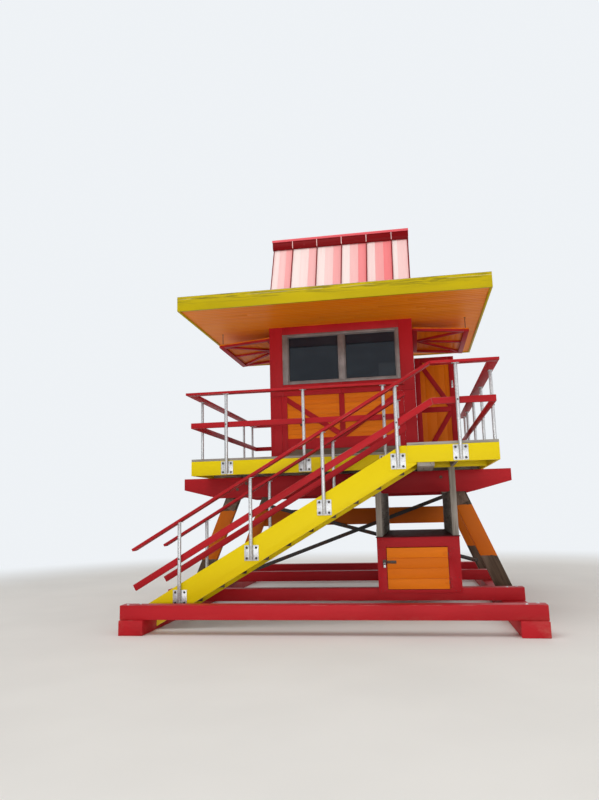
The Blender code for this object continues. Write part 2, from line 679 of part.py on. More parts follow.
def level_railing(name, along, face, outward, top_span, mid_span, posts):
    """A level run along 'x' or 'y' on the rim board whose face is given."""
    post_at = face + outward * POST_OUT
    across_top = sorted((post_at + outward * TOP_RAIL_OUTSIDE,
                         post_at + outward * (TOP_RAIL_OUTSIDE - TOP_RAIL_WIDTH)))
    inner = post_at - outward * (TUBE_RADIUS - WELD)
    across_mid = sorted((inner, inner - outward * MID_RAIL_THICKNESS))
    across_plate = sorted((face + outward * SEAT,
                           face + outward * (SEAT + PLATE_THICKNESS)))
    z_plate = (RIM_TOP + RIM_BOTTOM) / 2
    mid_top = RAIL_TOP - MID_RAIL_DROP

    def bar(span, across, z):
        if along == "x":
            return block(span, across, z)
        return block(across, span, z)

    shapes = [bar(top_span, across_top, (RAIL_TOP - TOP_RAIL_THICKNESS, RAIL_TOP)),
              bar(mid_span, across_mid, (mid_top - MID_RAIL_HEIGHT, mid_top))]
    for at in posts:
        shapes.append(bar((at - PLATE_WIDTH / 2, at + PLATE_WIDTH / 2), across_plate,
                          (z_plate - PLATE_HEIGHT / 2, z_plate + PLATE_HEIGHT / 2)))
        x, y = (at, post_at) if along == "x" else (post_at, at)
        shapes.append(tube(x, y, (z_plate - TUBE_DOWN_PLATE,
                                  RAIL_TOP - TOP_RAIL_THICKNESS / 2)))
    fused(name, shapes, RED)


def build_railings():
    rail_in = TOP_RAIL_WIDTH - TOP_RAIL_OUTSIDE - POST_OUT
    rail_out = TOP_RAIL_OUTSIDE + POST_OUT
    mid_in = TUBE_RADIUS - WELD + MID_RAIL_THICKNESS - POST_OUT
    mid_out = POST_OUT - TUBE_RADIUS + WELD
    corner = DECK_X + rail_out
    mid_corner = DECK_X + mid_out
    stair_railing("stair_railing_front", LANDING_FRONT, -1,
                  (corner, mid_corner), [LANDING_POST])
    stair_end = LANDING_LEFT
    stair_railing("stair_railing_back", BACK_STRINGER[1], 1,
                  (stair_end, stair_end), [])
    front_posts = [FRONT_POST_FIRST + i * FRONT_POST_SPACING
                   for i in range(FRONT_POST_COUNT)]
    level_railing("deck_railing_front", "x", DECK_FRONT, -1,
                  (-corner, LANDING_LEFT), (-mid_corner, LANDING_LEFT), front_posts)
    rear_posts = [REAR_POST_SPACING * (i - 1.5) for i in range(4)]
    level_railing("deck_railing_rear", "x", DECK_REAR, 1,
                  (-corner, corner), (-mid_corner, mid_corner), rear_posts)
    rear_top = DECK_REAR - rail_in - SEAT
    rear_mid = DECK_REAR - mid_in - SEAT
    side_posts = [SIDE_POST_FIRST + i * SIDE_POST_SPACING
                  for i in range(SIDE_POST_COUNT)] + [SIDE_POST_LAST]
    level_railing("deck_railing_left", "y", -DECK_X, -1,
                  (DECK_FRONT + rail_in + SEAT, rear_top),
                  (DECK_FRONT + mid_in + SEAT, rear_mid), side_posts)
    level_railing("deck_railing_right", "y", DECK_X, 1,
                  (LANDING_FRONT + rail_in + SEAT, rear_top),
                  (LANDING_FRONT + mid_in + SEAT, rear_mid),
                  side_posts + [LANDING_SIDE_POST])


# Hut
DOOR_HINGE_X = HUT_X + SEAT + CORNER_TRIM - HINGE_RADIUS - WELD
DOOR_THICKNESS = DOOR_BOARDS + DOOR_FRAME
DOOR_HINGE_Y = HUT_REAR + SWING_GAP + DOOR_THICKNESS / 2
DOOR_LOW = DECK_TOP + DOOR_FLOOR_GAP
DOOR_HIGH = DOOR_LOW + DOOR_HEIGHT


def door_hinge_heights():
    return (DOOR_LOW + HINGE_INSET, (DOOR_LOW + DOOR_HIGH) / 2, DOOR_HIGH - HINGE_INSET)


def build_hut():
    height = (HUT_FLOOR, WALL_TOP)
    front = block((-HUT_X, HUT_X), (HUT_FRONT, HUT_FRONT + WALL_THICKNESS), height)
    half_window = WINDOW_WIDTH / 2
    window_z = (WINDOW_BOTTOM, WINDOW_BOTTOM + WINDOW_HEIGHT)
    hole = block((-half_window, half_window),
                 (HUT_FRONT - CUT_PAST, HUT_FRONT + WALL_THICKNESS + CUT_PAST), window_z)
    cut("hut_front_wall", front, [hole], RED)
    side_y = (HUT_FRONT + WALL_THICKNESS + SEAT, HUT_REAR)
    opening_y = (HUT_FRONT + SIDE_OPENING_INSET, HUT_REAR - SIDE_OPENING_INSET)
    opening_z = (SIDE_OPENING_BOTTOM, SIDE_OPENING_BOTTOM + SIDE_OPENING_HEIGHT)
    for side, name in ((-1, "hut_left_wall"), (1, "hut_right_wall")):
        thick = sorted((side * HUT_X, side * (HUT_X - WALL_THICKNESS)))
        hole = block((thick[0] - CUT_PAST, thick[1] + CUT_PAST), opening_y, opening_z)
        cut(name, block(thick, side_y, height), [hole], RED)
    inner = HUT_X - WALL_THICKNESS - SEAT
    rear_y = (HUT_REAR - WALL_THICKNESS, HUT_REAR)
    doorway_left = inner - DOORWAY_WIDTH
    add_object("hut_rear_wall", block((-inner, doorway_left - SEAT), rear_y, height), RED)
    lintel_z = (DECK_TOP + DOORWAY_HEIGHT, WALL_TOP)
    add_object("hut_door_lintel", block((doorway_left, inner), rear_y, lintel_z), RED)


def build_window():
    half = WINDOW_WIDTH / 2 - SEAT
    low = WINDOW_BOTTOM + SEAT
    high = WINDOW_BOTTOM + WINDOW_HEIGHT - SEAT
    front = HUT_FRONT - WINDOW_PROUD
    frame = block((-half, half), (front, front + WINDOW_FRAME_DEPTH), (low, high))
    past = (front - CUT_PAST, front + WINDOW_FRAME_DEPTH + CUT_PAST)
    pane_z = (low + WINDOW_FRAME, high - WINDOW_FRAME)
    panes = [block(sorted((side * WINDOW_MULLION / 2, side * (half - WINDOW_FRAME))),
                   past, pane_z) for side in (-1, 1)]
    cut("window_frame", frame, panes, ALUMINIUM)
    behind = front + WINDOW_FRAME_DEPTH + SEAT
    add_object("window_glass", block((-half, half), (behind, behind + GLASS_THICKNESS),
                                     (low, high)), GLASS)


def build_door():
    """Door stored fully open, in line with the rear wall, right of the hut."""
    trim_x = (HUT_X + SEAT, HUT_X + SEAT + CORNER_TRIM)
    trim = block(trim_x, (HUT_REAR - CORNER_TRIM_WIDTH, HUT_REAR),
                 (HUT_FLOOR, WALL_TOP))
    fixed = [trim]
    near = DOOR_HINGE_X + HINGE_REACH
    far = near + DOOR_WIDTH
    y0 = HUT_REAR + SWING_GAP
    frame_y = (y0, y0 + DOOR_FRAME + WELD / 2)
    boards_y = (y0 + DOOR_FRAME, y0 + DOOR_THICKNESS)
    shapes = [block((near, far), boards_y, (DOOR_LOW, DOOR_HIGH))]
    shapes.append(block((near, near + DOOR_STILE), frame_y, (DOOR_LOW, DOOR_HIGH)))
    shapes.append(block((far - DOOR_STILE, far), frame_y, (DOOR_LOW, DOOR_HIGH)))
    mid = DOOR_LOW + DOOR_MID_RAIL
    between = (near + DOOR_STILE / 2, far - DOOR_STILE / 2)
    for z in (DOOR_LOW, mid, DOOR_HIGH - DOOR_STILE):
        shapes.append(block(between, frame_y, (z, z + DOOR_STILE)))
    left = near + DOOR_STILE / 2
    right = far - DOOR_STILE / 2
    meet = mid + DOOR_STILE / 2
    for end_z in (DOOR_LOW + DOOR_STILE / 2, DOOR_HIGH - DOOR_STILE / 2):
        length = math.hypot(right - left, end_z - meet)
        lean = math.degrees(math.atan2(end_z - meet, left - right))
        strut = block((0.0, length), frame_y, (-DOOR_STILE / 2, DOOR_STILE / 2))
        turned(strut, (0.0, 0.0, 0.0), -lean, "Y")
        bmesh.ops.translate(strut, verts=strut.verts, vec=(right, 0.0, meet))
        shapes.append(strut)
    for z in door_hinge_heights():
        for step in (-1, 0, 1):
            middle = z + step * HINGE_KNUCKLE
            span = (middle - HINGE_KNUCKLE / 2 + SEAT, middle + HINGE_KNUCKLE / 2 - SEAT)
            knuckle = tube(DOOR_HINGE_X, DOOR_HINGE_Y, span, HINGE_RADIUS, 10)
            if step == 0:
                leaf = block((DOOR_HINGE_X, near + HINGE_LEAF_LENGTH),
                             (DOOR_HINGE_Y - HINGE_LEAF / 2, DOOR_HINGE_Y + HINGE_LEAF / 2),
                             span)
                shapes += [knuckle, leaf]
            else:
                leaf = block((DOOR_HINGE_X - HINGE_LEAF / 2, DOOR_HINGE_X + HINGE_LEAF / 2),
                             (HUT_REAR - HINGE_LEAF_LENGTH, DOOR_HINGE_Y), span)
                fixed += [knuckle, leaf]
    fused("door_jamb", fixed, RED)
    fused("hut_door", shapes, ORANGE, (DOOR_HINGE_X, DOOR_HINGE_Y, 0.0))


# Shutters
def build_shutter(name, side):
    """Top-hung panel, held open a little below level by two stays."""
    middle = (HUT_FRONT + HUT_REAR) / 2
    half = SHUTTER_WIDTH / 2
    frame_z = (-SHUTTER_FRAME_THICKNESS, 0.0)
    boards_z = (-WELD, SHUTTER_BOARDS)
    full_y = (middle - half, middle + half)
    shapes = [block((0.0, SHUTTER_LENGTH), full_y, boards_z)]
    for x in (0.0, SHUTTER_LENGTH - SHUTTER_FRAME):
        shapes.append(block((x, x + SHUTTER_FRAME), full_y, frame_z))
    for y in (middle - half, middle + half - SHUTTER_FRAME):
        shapes.append(block((SHUTTER_FRAME / 2, SHUTTER_LENGTH - SHUTTER_FRAME / 2),
                            (y, y + SHUTTER_FRAME), frame_z))
    root = SHUTTER_FRAME / 2
    tip = SHUTTER_LENGTH - SHUTTER_FRAME / 2
    reach = half - SHUTTER_FRAME / 2
    for spread in (-reach, 0.0, reach):
        length = math.hypot(tip - root, spread)
        rib = block((0.0, length), (-SHUTTER_RIB / 2, SHUTTER_RIB / 2),
                    (-SHUTTER_FRAME_THICKNESS * 0.8, 0.0))
        turned(rib, (0.0, 0.0, 0.0), math.degrees(math.atan2(spread, tip - root)), "Z")
        bmesh.ops.translate(rib, verts=rib.verts, vec=(root, middle, 0.0))
        shapes.append(rib)
    droop = math.radians(SHUTTER_DROOP)
    hinge_x = HUT_X + SEAT + math.sin(droop) * SHUTTER_FRAME_THICKNESS
    panel = reopened(fused(name, shapes, ORANGE))
    turned(panel, (0.0, 0.0, 0.0), SHUTTER_DROOP, "Y")
    bmesh.ops.translate(panel, verts=panel.verts,
                        vec=(hinge_x, 0.0, SHUTTER_HINGE_HEIGHT))
    along = SHUTTER_LENGTH - STAY_INSET
    stay_x = hinge_x + along * math.cos(droop)
    stay_z = SHUTTER_HINGE_HEIGHT - along * math.sin(droop)
    shapes = [panel]
    for y in (middle - half + STAY_INSET, middle + half - STAY_INSET):
        shapes.append(tube(stay_x, y, (stay_z, SOFFIT - SEAT), STAY_RADIUS, 8))
    if side < 0:
        for shape in shapes:
            bmesh.ops.scale(shape, verts=shape.verts, vec=(-1.0, 1.0, 1.0))
            bmesh.ops.reverse_faces(shape, faces=shape.faces)
    fused(name, shapes, ORANGE)


# Roof
def build_roof():
    roof_x = ROOF_WIDTH / 2
    roof_y = (ROOF_FRONT, ROOF_FRONT + ROOF_DEPTH)
    fascia_top = FASCIA_BOTTOM + FASCIA_HEIGHT
    ring = block((-roof_x, roof_x), roof_y, (FASCIA_BOTTOM, fascia_top))
    inner_x = roof_x - FASCIA_THICKNESS
    inner_y = (roof_y[0] + FASCIA_THICKNESS, roof_y[1] - FASCIA_THICKNESS)
    hole = block((-inner_x, inner_x), inner_y,
                 (FASCIA_BOTTOM - CUT_PAST, fascia_top + CUT_PAST))
    cut("roof_fascia", ring, [hole], YELLOW)
    slab_top = fascia_top - ROOF_RECESS
    add_object("roof_slab", block((-inner_x + SEAT, inner_x - SEAT),
                                  (inner_y[0] + SEAT, inner_y[1] - SEAT),
                                  (SOFFIT, slab_top)), ORANGE)
    middle = (roof_y[0] + roof_y[1]) / 2
    half = CAP_DEPTH / 2
    foot = slab_top + SEAT
    peak = foot + CAP_HEIGHT
    half_cap = CAP_WIDTH / 2
    tent = side_board([(middle - half, foot), (middle + half, foot), (middle, peak)],
                      (-half_cap, half_cap))
    inside = side_board([(middle - half + CAP_EAVES_WALL, foot - CUT_PAST),
                         (middle + half - CAP_EAVES_WALL, foot - CUT_PAST),
                         (middle, peak - CAP_PEAK_WALL)],
                        (-half_cap + CAP_SHEET, half_cap - CAP_SHEET))
    ridge_low = RIDGE_TOP - RIDGE_HEIGHT
    half_ridge = RIDGE_WIDTH / 2
    ridge = side_board([(middle - half_ridge, ridge_low),
                        (middle + half_ridge, ridge_low),
                        (middle + half_ridge, RIDGE_TOP - RIDGE_PITCH),
                        (middle, RIDGE_TOP),
                        (middle - half_ridge, RIDGE_TOP - RIDGE_PITCH)],
                       (-half_cap - RIDGE_OVERHANG, half_cap + RIDGE_OVERHANG))
    shell = cut("roof_cap", tent, [inside], METAL_ROOF)
    fused("roof_cap", [reopened(shell), ridge], METAL_ROOF)


clear_scene()
build_base()
build_supports()
build_deck()
build_storage_box()
build_box_door()
build_posts()
build_stair()
build_railings()
build_hut()
build_window()
build_door()
build_shutter("shutter_left", -1)
build_shutter("shutter_right", 1)
build_roof()
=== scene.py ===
from functools import cache
from itertools import product
import math
import random

import bmesh
import bpy
from mathutils import Matrix, Vector


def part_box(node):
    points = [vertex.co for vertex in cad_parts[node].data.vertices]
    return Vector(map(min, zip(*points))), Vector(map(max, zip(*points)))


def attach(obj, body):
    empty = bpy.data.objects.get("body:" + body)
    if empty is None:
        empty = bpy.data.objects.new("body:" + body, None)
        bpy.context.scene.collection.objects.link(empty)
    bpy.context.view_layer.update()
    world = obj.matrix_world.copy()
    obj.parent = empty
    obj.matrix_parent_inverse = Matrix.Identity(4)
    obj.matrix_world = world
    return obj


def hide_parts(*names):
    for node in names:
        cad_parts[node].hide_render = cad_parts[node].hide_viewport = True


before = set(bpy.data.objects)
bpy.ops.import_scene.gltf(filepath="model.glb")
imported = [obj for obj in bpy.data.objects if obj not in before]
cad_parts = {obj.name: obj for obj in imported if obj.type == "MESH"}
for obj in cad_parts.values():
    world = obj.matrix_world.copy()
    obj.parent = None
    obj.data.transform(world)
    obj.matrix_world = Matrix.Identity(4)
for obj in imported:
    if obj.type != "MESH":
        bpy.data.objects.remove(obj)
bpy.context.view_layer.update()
chance = random.Random(11)
print("frame loaded:", len(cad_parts), "nodes")

view = {"place": (1.184, -11.493, 1.537), "yaw": 9.589, "pitch": 9.486, "roll": 1.494,
        "lens": 29.559, "sensor": 36.0, "farthest": 300.0}


def addObject(name, data):
    made = bpy.data.objects.new(name, data)
    bpy.context.scene.collection.objects.link(made)
    return made


def aimCamera():
    yaw, pitch, roll = (math.radians(view[name]) for name in ("yaw", "pitch", "roll"))
    forward = Vector((-math.sin(yaw) * math.cos(pitch), math.cos(yaw) * math.cos(pitch), math.sin(pitch)))
    level = Vector((math.cos(yaw), math.sin(yaw), 0.0))
    upward = level.cross(forward)
    right = level * math.cos(roll) - upward * math.sin(roll)
    above = level * math.sin(roll) + upward * math.cos(roll)
    camera = addObject("camera", bpy.data.cameras.new("camera"))
    turn = Matrix((right, above, -forward)).transposed().to_4x4()
    camera.matrix_world = Matrix.Translation(view["place"]) @ turn
    camera.data.lens = view["lens"]
    camera.data.sensor_width = view["sensor"]
    camera.data.clip_end = view["farthest"]
    bpy.context.scene.camera = camera


aimCamera()


class Wire:
    # one output socket; arithmetic on it adds Math nodes
    def __init__(self, tree, socket):
        self.tree = tree
        self.socket = socket

    def maths(self, operation, other):
        return self.tree.node("ShaderNodeMath", {"operation": operation}, {0: self, 1: other})

    def __add__(self, other):
        return self.maths("ADD", other)

    def __mul__(self, other):
        return self.maths("MULTIPLY", other)

    def __sub__(self, other):
        return self.maths("SUBTRACT", other)

    def __mod__(self, other):
        return self.maths("FLOORED_MODULO", other)

    def larger(self, other):
        return self.maths("MAXIMUM", other)

    # 0 below the first value, 1 past the second, smooth in between
    def between(self, start, end):
        return self.tree.node("ShaderNodeMapRange", {"interpolation_type": "SMOOTHSTEP"},
                              {"Value": self, "From Min": start, "From Max": end})


class Tree:
    # a node tree and a short way to add to it
    def __init__(self, nodeTree):
        self.nodes = nodeTree.nodes
        self.links = nodeTree.links

    def node(self, kind, settings, sockets, output=0):
        made = self.nodes.new(kind)
        for name, value in settings.items():
            setattr(made, name, value)
        for key, value in sockets.items():
            self.feed(made.inputs[key], value)
        return Wire(self, made.outputs[output])

    def feed(self, socket, value):
        if isinstance(value, Wire):
            self.links.new(value.socket, socket)
        else:
            socket.default_value = value


class Finish(Tree):
    # one material and the patterns it is made of
    def __init__(self, name):
        self.material = bpy.data.materials.new(name)
        self.material.use_nodes = True
        super().__init__(self.material.node_tree)
        self.shader = self.nodes["Principled BSDF"]
        self.place = self.node("ShaderNodeTexCoord", {}, {}, "Object")

    # turns the coordinates so that the timber's length lies along X
    def lengthwise(self, along):
        turns = {"x": (0.0, 0.0, 0.0), "y": (0.0, 0.0, -math.pi / 2), "z": (0.0, math.pi / 2, 0.0)}
        turn = turns[along] if along in turns else (0.0, math.radians(along), 0.0)
        own = self.attribute("tone")
        shift = self.node("ShaderNodeCombineXYZ", {}, {0: own * 31.0, 1: own * 17.0, 2: own * 9.0})
        turned = self.node("ShaderNodeMapping", {}, {"Vector": self.place, "Rotation": turn})
        return self.node("ShaderNodeVectorMath", {"operation": "ADD"}, {0: turned, 1: shift})

    def pattern(self, kind, space, scale, sockets, output):
        scale = scale if isinstance(scale, tuple) else (scale,) * 3
        stretched = self.node("ShaderNodeMapping", {}, {"Vector": space, "Scale": scale})
        return self.node(kind, {}, {"Vector": stretched, "Scale": 1.0, **sockets}, output)

    def noise(self, space, scale, detail=3.0, roughness=0.5):
        sockets = {"Detail": detail, "Roughness": roughness}
        return self.pattern("ShaderNodeTexNoise", space, scale, sockets, 0)

    def cells(self, space, scale):
        return self.pattern("ShaderNodeTexVoronoi", space, scale, {}, "Distance")

    def attribute(self, name):
        return self.node("ShaderNodeAttribute", {"attribute_name": name}, {}, "Fac")

    def axis(self, letter):
        return self.node("ShaderNodeSeparateXYZ", {}, {0: self.place}, letter)

    # colours laid over the first one, each by its share
    def layers(self, colour, *over):
        for share, upper in over:
            pair = [c if isinstance(c, Wire) else (*c, 1.0) for c in (colour, upper)]
            colour = self.node("ShaderNodeMix", {"data_type": "RGBA"},
                               {0: share, 6: pair[0], 7: pair[1]}, 2)
        return colour

    # gives the material and the slot it takes
    def done(self, slot, colour, roughness, height=None, strength=0.3, depth=0.003, **fixed):
        if height is not None:
            fixed["Normal"] = self.node("ShaderNodeBump", {}, {"Strength": strength, "Distance": depth,
                                                               "Height": height})
        fixed.update({"Base Color": colour, "Roughness": roughness})
        for name, value in fixed.items():
            self.feed(self.shader.inputs[name.replace("_", " ")], value)
        return self.material, slot


# each tint's deep, usual and pale colour and what shows where the paint is lost
paintLooks = {
    "red": ((0.29, 0.004, 0.007), (0.43, 0.011, 0.017), (0.52, 0.026, 0.034), (0.50, 0.24, 0.20)),
    "maroon": ((0.05, 0.003, 0.005), (0.09, 0.005, 0.008), (0.16, 0.012, 0.016), (0.18, 0.10, 0.09)),
    "yellow": ((0.70, 0.50, 0.001), (0.74, 0.56, 0.001), (0.79, 0.62, 0.006), (0.56, 0.45, 0.24)),
    # the fascia's yellow, darker partly for age and partly as painted shade
    "olive": ((0.44, 0.335, 0.001), (0.55, 0.42, 0.001), (0.62, 0.48, 0.004), (0.62, 0.55, 0.30)),
    "orange": ((0.66, 0.135, 0.002), (0.80, 0.190, 0.003), (0.82, 0.225, 0.010), (0.48, 0.30, 0.18)),
    # soffit: the orange made brighter as painted light, for light thrown up from the ground
    "soffit": ((0.88, 0.22, 0.003), (0.95, 0.27, 0.005), (0.97, 0.33, 0.016), (0.60, 0.34, 0.16)),
    "amber": ((0.44, 0.090, 0.004), (0.62, 0.142, 0.005), (0.68, 0.172, 0.010), (0.34, 0.20, 0.12)),
    # inside: dark navy lining that stands for the shade inside the hut, painted shade
    "inside": ((0.010, 0.024, 0.045), (0.018, 0.040, 0.070), (0.030, 0.060, 0.095), (0.08, 0.08, 0.08)), }
paintSlots = {"yellow": "yellow_paint", "olive": "yellow_paint", "orange": "orange_paint",
              "soffit": "orange_paint", "amber": "orange_paint"}
sandColour = (0.62, 0.50, 0.37)
mildewColour = (0.20, 0.165, 0.010)
paintRoughness = 0.42
# the cracks, the dark and the usual grain and the pale wood
timberLooks = {
    "grey": ((0.055, 0.045, 0.036), (0.15, 0.125, 0.10), (0.27, 0.24, 0.205), (0.42, 0.39, 0.35)),
    "brown": ((0.020, 0.013, 0.009), (0.050, 0.032, 0.020), (0.100, 0.066, 0.042), (0.24, 0.18, 0.13)), }


def timberColour(coat, run, kind):
    crack, dark, mid, pale = timberLooks[kind]
    rings = coat.noise(run, (1.0, 30.0, 30.0), 6.0, 0.65)
    fibre = coat.noise(run, (3.0, 170.0, 170.0), 3.0, 0.6)
    patches = coat.noise(run, (0.9, 3.0, 3.0))
    knots = coat.cells(run, (1.7, 6.5, 6.5)).between(0.17, 0.05)
    cracks = coat.noise(run, (1.6, 75.0, 75.0), 2.0, 0.4).between(0.64, 0.70)
    colour = coat.layers(
        dark, (rings.between(0.36, 0.62), mid), (patches.between(0.42, 0.68) * 0.75, pale),
        (coat.attribute("tone") * 0.35, pale), (fibre.between(0.5, 0.72) * 0.4, dark),
        (knots * 0.8, crack), (cracks * 0.85, crack))
    return colour, rings * 0.5 + fibre * 0.35 - cracks * 0.8 - knots * 0.2


@cache
def bareTimber(along, kind="grey"):
    coat = Finish(f"{kind}Timber_{along}")
    run = coat.lengthwise(along)
    colour, height = timberColour(coat, run, kind)
    worn = coat.attribute("edge") * coat.noise(run, (7.0, 20.0, 20.0)).between(0.45, 0.6)
    colour = coat.layers(colour, (worn * 0.5, timberLooks[kind][3]))
    return coat.done("grey_timber", colour, 0.82, height, 0.5, Specular_IOR_Level=0.25)


# wear is how much paint the edges and knocks lose; the wood is bare below and above two heights
@cache
def paintedWood(tint, along, wear, bare=None, stainAbove=None):
    deep, body, pale, under = paintLooks[tint]
    coat = Finish(f"{tint}Paint_{along}_{wear}_{bool(bare)}_{bool(stainAbove)}".replace("-", "m"))
    run = coat.lengthwise(along)
    height = coat.axis("Z")
    ridges = coat.noise(run, (1.2, 28.0, 28.0), 4.0, 0.6)
    brush = coat.noise(run, (6.0, 150.0, 150.0), 2.0)
    rubbed = coat.noise(run, (4.0, 11.0, 11.0), 4.0, 0.65).between(0.48, 0.66) * coat.attribute("edge")
    knocks = coat.noise(run, (5.0, 16.0, 16.0), 6.0, 0.62).between(0.765, 0.775)
    lost = (rubbed * 0.55).larger(knocks) * wear
    colour = coat.layers(deep, (coat.noise(run, (0.5, 1.6, 1.6)).between(0.25, 0.62), body),
        (coat.attribute("tone") * 0.3, pale), (ridges.between(0.56, 0.72) * 0.16, deep),
        (brush.between(0.5, 0.7) * 0.1, pale), (lost, under))
    relief = ridges * 0.4 + brush * 0.14 - lost * 0.3
    if bare:
        ragged = height + coat.noise(run, (3.0, 9.0, 9.0)) * 0.05 - 0.025
        stripped = ragged.between(bare[0] + 0.004, bare[0] - 0.004)
        stripped = stripped.larger(ragged.between(bare[1] - 0.004, bare[1] + 0.004))
        wood, grain = timberColour(coat, run, "brown")
        colour = coat.layers(colour, (stripped, wood))
        relief = relief + grain * stripped * 0.5
    if stainAbove:
        damp = coat.noise(run, (2.2, 36.0, 36.0), 6.0, 0.7).between(0.44, 0.62)
        damp = damp * coat.noise(run, (0.8, 2.0, 2.0), 2.0).between(0.2, 0.5)
        damp = damp * height.between(stainAbove - 0.09, stainAbove + 0.05)
        # a thin line of lifted paint under the top edge
        lifted = height + coat.noise(run, (0.4, 2.0, 2.0), 2.0) * 0.008
        lifted = (lifted.between(stainAbove + 0.052, stainAbove + 0.054)
                  * lifted.between(stainAbove + 0.060, stainAbove + 0.058))
        lifted = lifted * coat.noise(run, (0.9, 1.0, 1.0), 3.0, 0.6).between(0.5, 0.56)
        colour = coat.layers(colour, (damp * 0.9, mildewColour), (lifted * 0.75, under))
    dust = coat.noise(coat.place, (3.0, 3.0, 6.0), 5.0, 0.65).between(0.46, 0.7)
    dust = dust * height.between(0.3, 0.02) * 0.12
    colour = coat.layers(colour, (dust, sandColour))
    roughness = brush * 0.14 + lost * 0.3 + dust * 0.4 + paintRoughness
    slot = paintSlots.get(tint, "red_paint")
    return coat.done(slot, colour, roughness, relief, Specular_IOR_Level=0.12)


@cache
def galvanised():
    coat = Finish("galvanised")
    spangle = coat.cells(coat.place, 55.0)
    cloud = coat.noise(coat.place, 5.0, 4.0, 0.6)
    rust = coat.noise(coat.place, 11.0, 5.0, 0.7).between(0.68, 0.76)
    colour = coat.layers((0.42, 0.42, 0.425), (spangle.between(0.2, 0.8), (0.56, 0.565, 0.57)),
        (cloud.between(0.5, 0.75) * 0.5, (0.64, 0.64, 0.63)), (rust * 0.5, (0.30, 0.16, 0.09)))
    roughness = spangle * 0.16 + rust * 0.3 + 0.34
    return coat.done("dark_steel", colour, roughness, spangle, 0.08, 0.001, Metallic=0.72)


@cache
def darkSteel():
    coat = Finish("darkSteel")
    cloud = coat.noise(coat.place, 9.0, 6.0, 0.65)
    rust = cloud.between(0.5, 0.66)
    colour = coat.layers((0.045, 0.042, 0.040), (rust, (0.15, 0.075, 0.040)))
    return coat.done("dark_steel", colour, rust * 0.35 + 0.45, cloud, 0.25, 0.002, Metallic=0.6)


@cache
def plateSteel():
    coat = Finish("plateSteel")
    cloud = coat.noise(coat.place, 12.0, 6.0, 0.65)
    streak = coat.noise(coat.place, (30.0, 30.0, 4.0), 3.0, 0.6)
    colour = coat.layers((0.12, 0.075, 0.052), (cloud.between(0.4, 0.62), (0.20, 0.135, 0.098)),
                         (streak.between(0.5, 0.7) * 0.5, (0.20, 0.14, 0.105)))
    return coat.done("dark_steel", colour, cloud * 0.3 + 0.5, cloud, 0.3, 0.002,
                     Metallic=0.2, Specular_IOR_Level=0.3)


@cache
def aluminium():
    coat = Finish("aluminium")
    drawn = coat.noise(coat.place, (40.0, 260.0, 260.0), 2.0)
    cloud = coat.noise(coat.place, 4.0, 4.0, 0.6)
    # the dark brownish grey is painted shade and painted reflection of the red sill
    colour = coat.layers((0.17, 0.140, 0.132), (cloud.between(0.35, 0.7), (0.25, 0.215, 0.205)))
    return coat.done("aluminium", colour, drawn * 0.2 + 0.36, drawn, 0.06, 0.001,
                     Metallic=0.35, Specular_IOR_Level=0.35)


def windowGlass():
    coat = Finish("windowGlass")
    smear = coat.noise(coat.place, (2.2, 2.2, 5.0), 5.0, 0.6)
    # the dark blue tint, nearly opaque, is painted shade of the dark hut inside; the smear is dirt
    colour = coat.layers((0.008, 0.014, 0.024), (smear.between(0.4, 0.75), (0.016, 0.026, 0.038)))
    roughness = smear.between(0.5, 0.8) * 0.09 + 0.03
    return coat.done("window_glass", colour, roughness, Alpha=0.9, Specular_IOR_Level=0.3)


# a strip's tone sets how deep its pink is, so the tones lay bands of painted reflection
@cache
def roofSheet(tint="sheet"):
    # the sheet's pale pink and its streaks are painted sky reflection on red metal
    pale, deep = {"sheet": ((0.96, 0.84, 0.80), (0.92, 0.20, 0.21)),
                  # ridge: the cap's red brightened as a painted highlight of the lip
                  "ridge": ((0.86, 0.15, 0.17), (0.72, 0.08, 0.10)),
                  # band: dark maroon that is a painted shadow, also the painted shade on the seams
                  "band": ((0.24, 0.002, 0.004), (0.14, 0.001, 0.002))}[tint]
    coat = Finish(f"{tint}Metal")
    # streaks of painted reflection across the sheet, also used as a faint relief
    sheenStreaks = coat.noise(coat.place, (14.0, 1.2, 0.3))
    spots = coat.noise(coat.place, (16.0, 16.0, 5.0), 5.0, 0.65)
    runs = coat.noise(coat.place, (30.0, 2.0, 0.7), 4.0, 0.6)
    colour = coat.layers(pale, (coat.attribute("tone") + sheenStreaks * 0.16 - 0.08, deep),
                         (runs.between(0.55, 0.75) * 0.16, deep),
                         (spots.between(0.68, 0.76) * 0.25, (0.46, 0.30, 0.26)))
    return coat.done("roof_metal", colour, spots * 0.16 + 0.30, sheenStreaks, 0.15, 0.006,
                     Specular_IOR_Level=0.08)


def roofFelt():
    coat = Finish("roofFelt")
    grit = coat.noise(coat.place, 260.0, 2.0)
    cloud = coat.noise(coat.place, 1.3, 5.0, 0.6)
    lap = (coat.axis("Y") % 0.92).between(0.016, 0.0)
    colour = coat.layers((0.30, 0.30, 0.29), (grit.between(0.35, 0.65), (0.58, 0.57, 0.55)),
        (cloud.between(0.45, 0.7) * 0.5, (0.34, 0.31, 0.26)), (lap * 0.7, (0.12, 0.12, 0.11)))
    return coat.done("roof_metal", colour, 0.9, grit - lap, 0.5)


print("finishes ready")


unturned = Matrix.Identity(4)


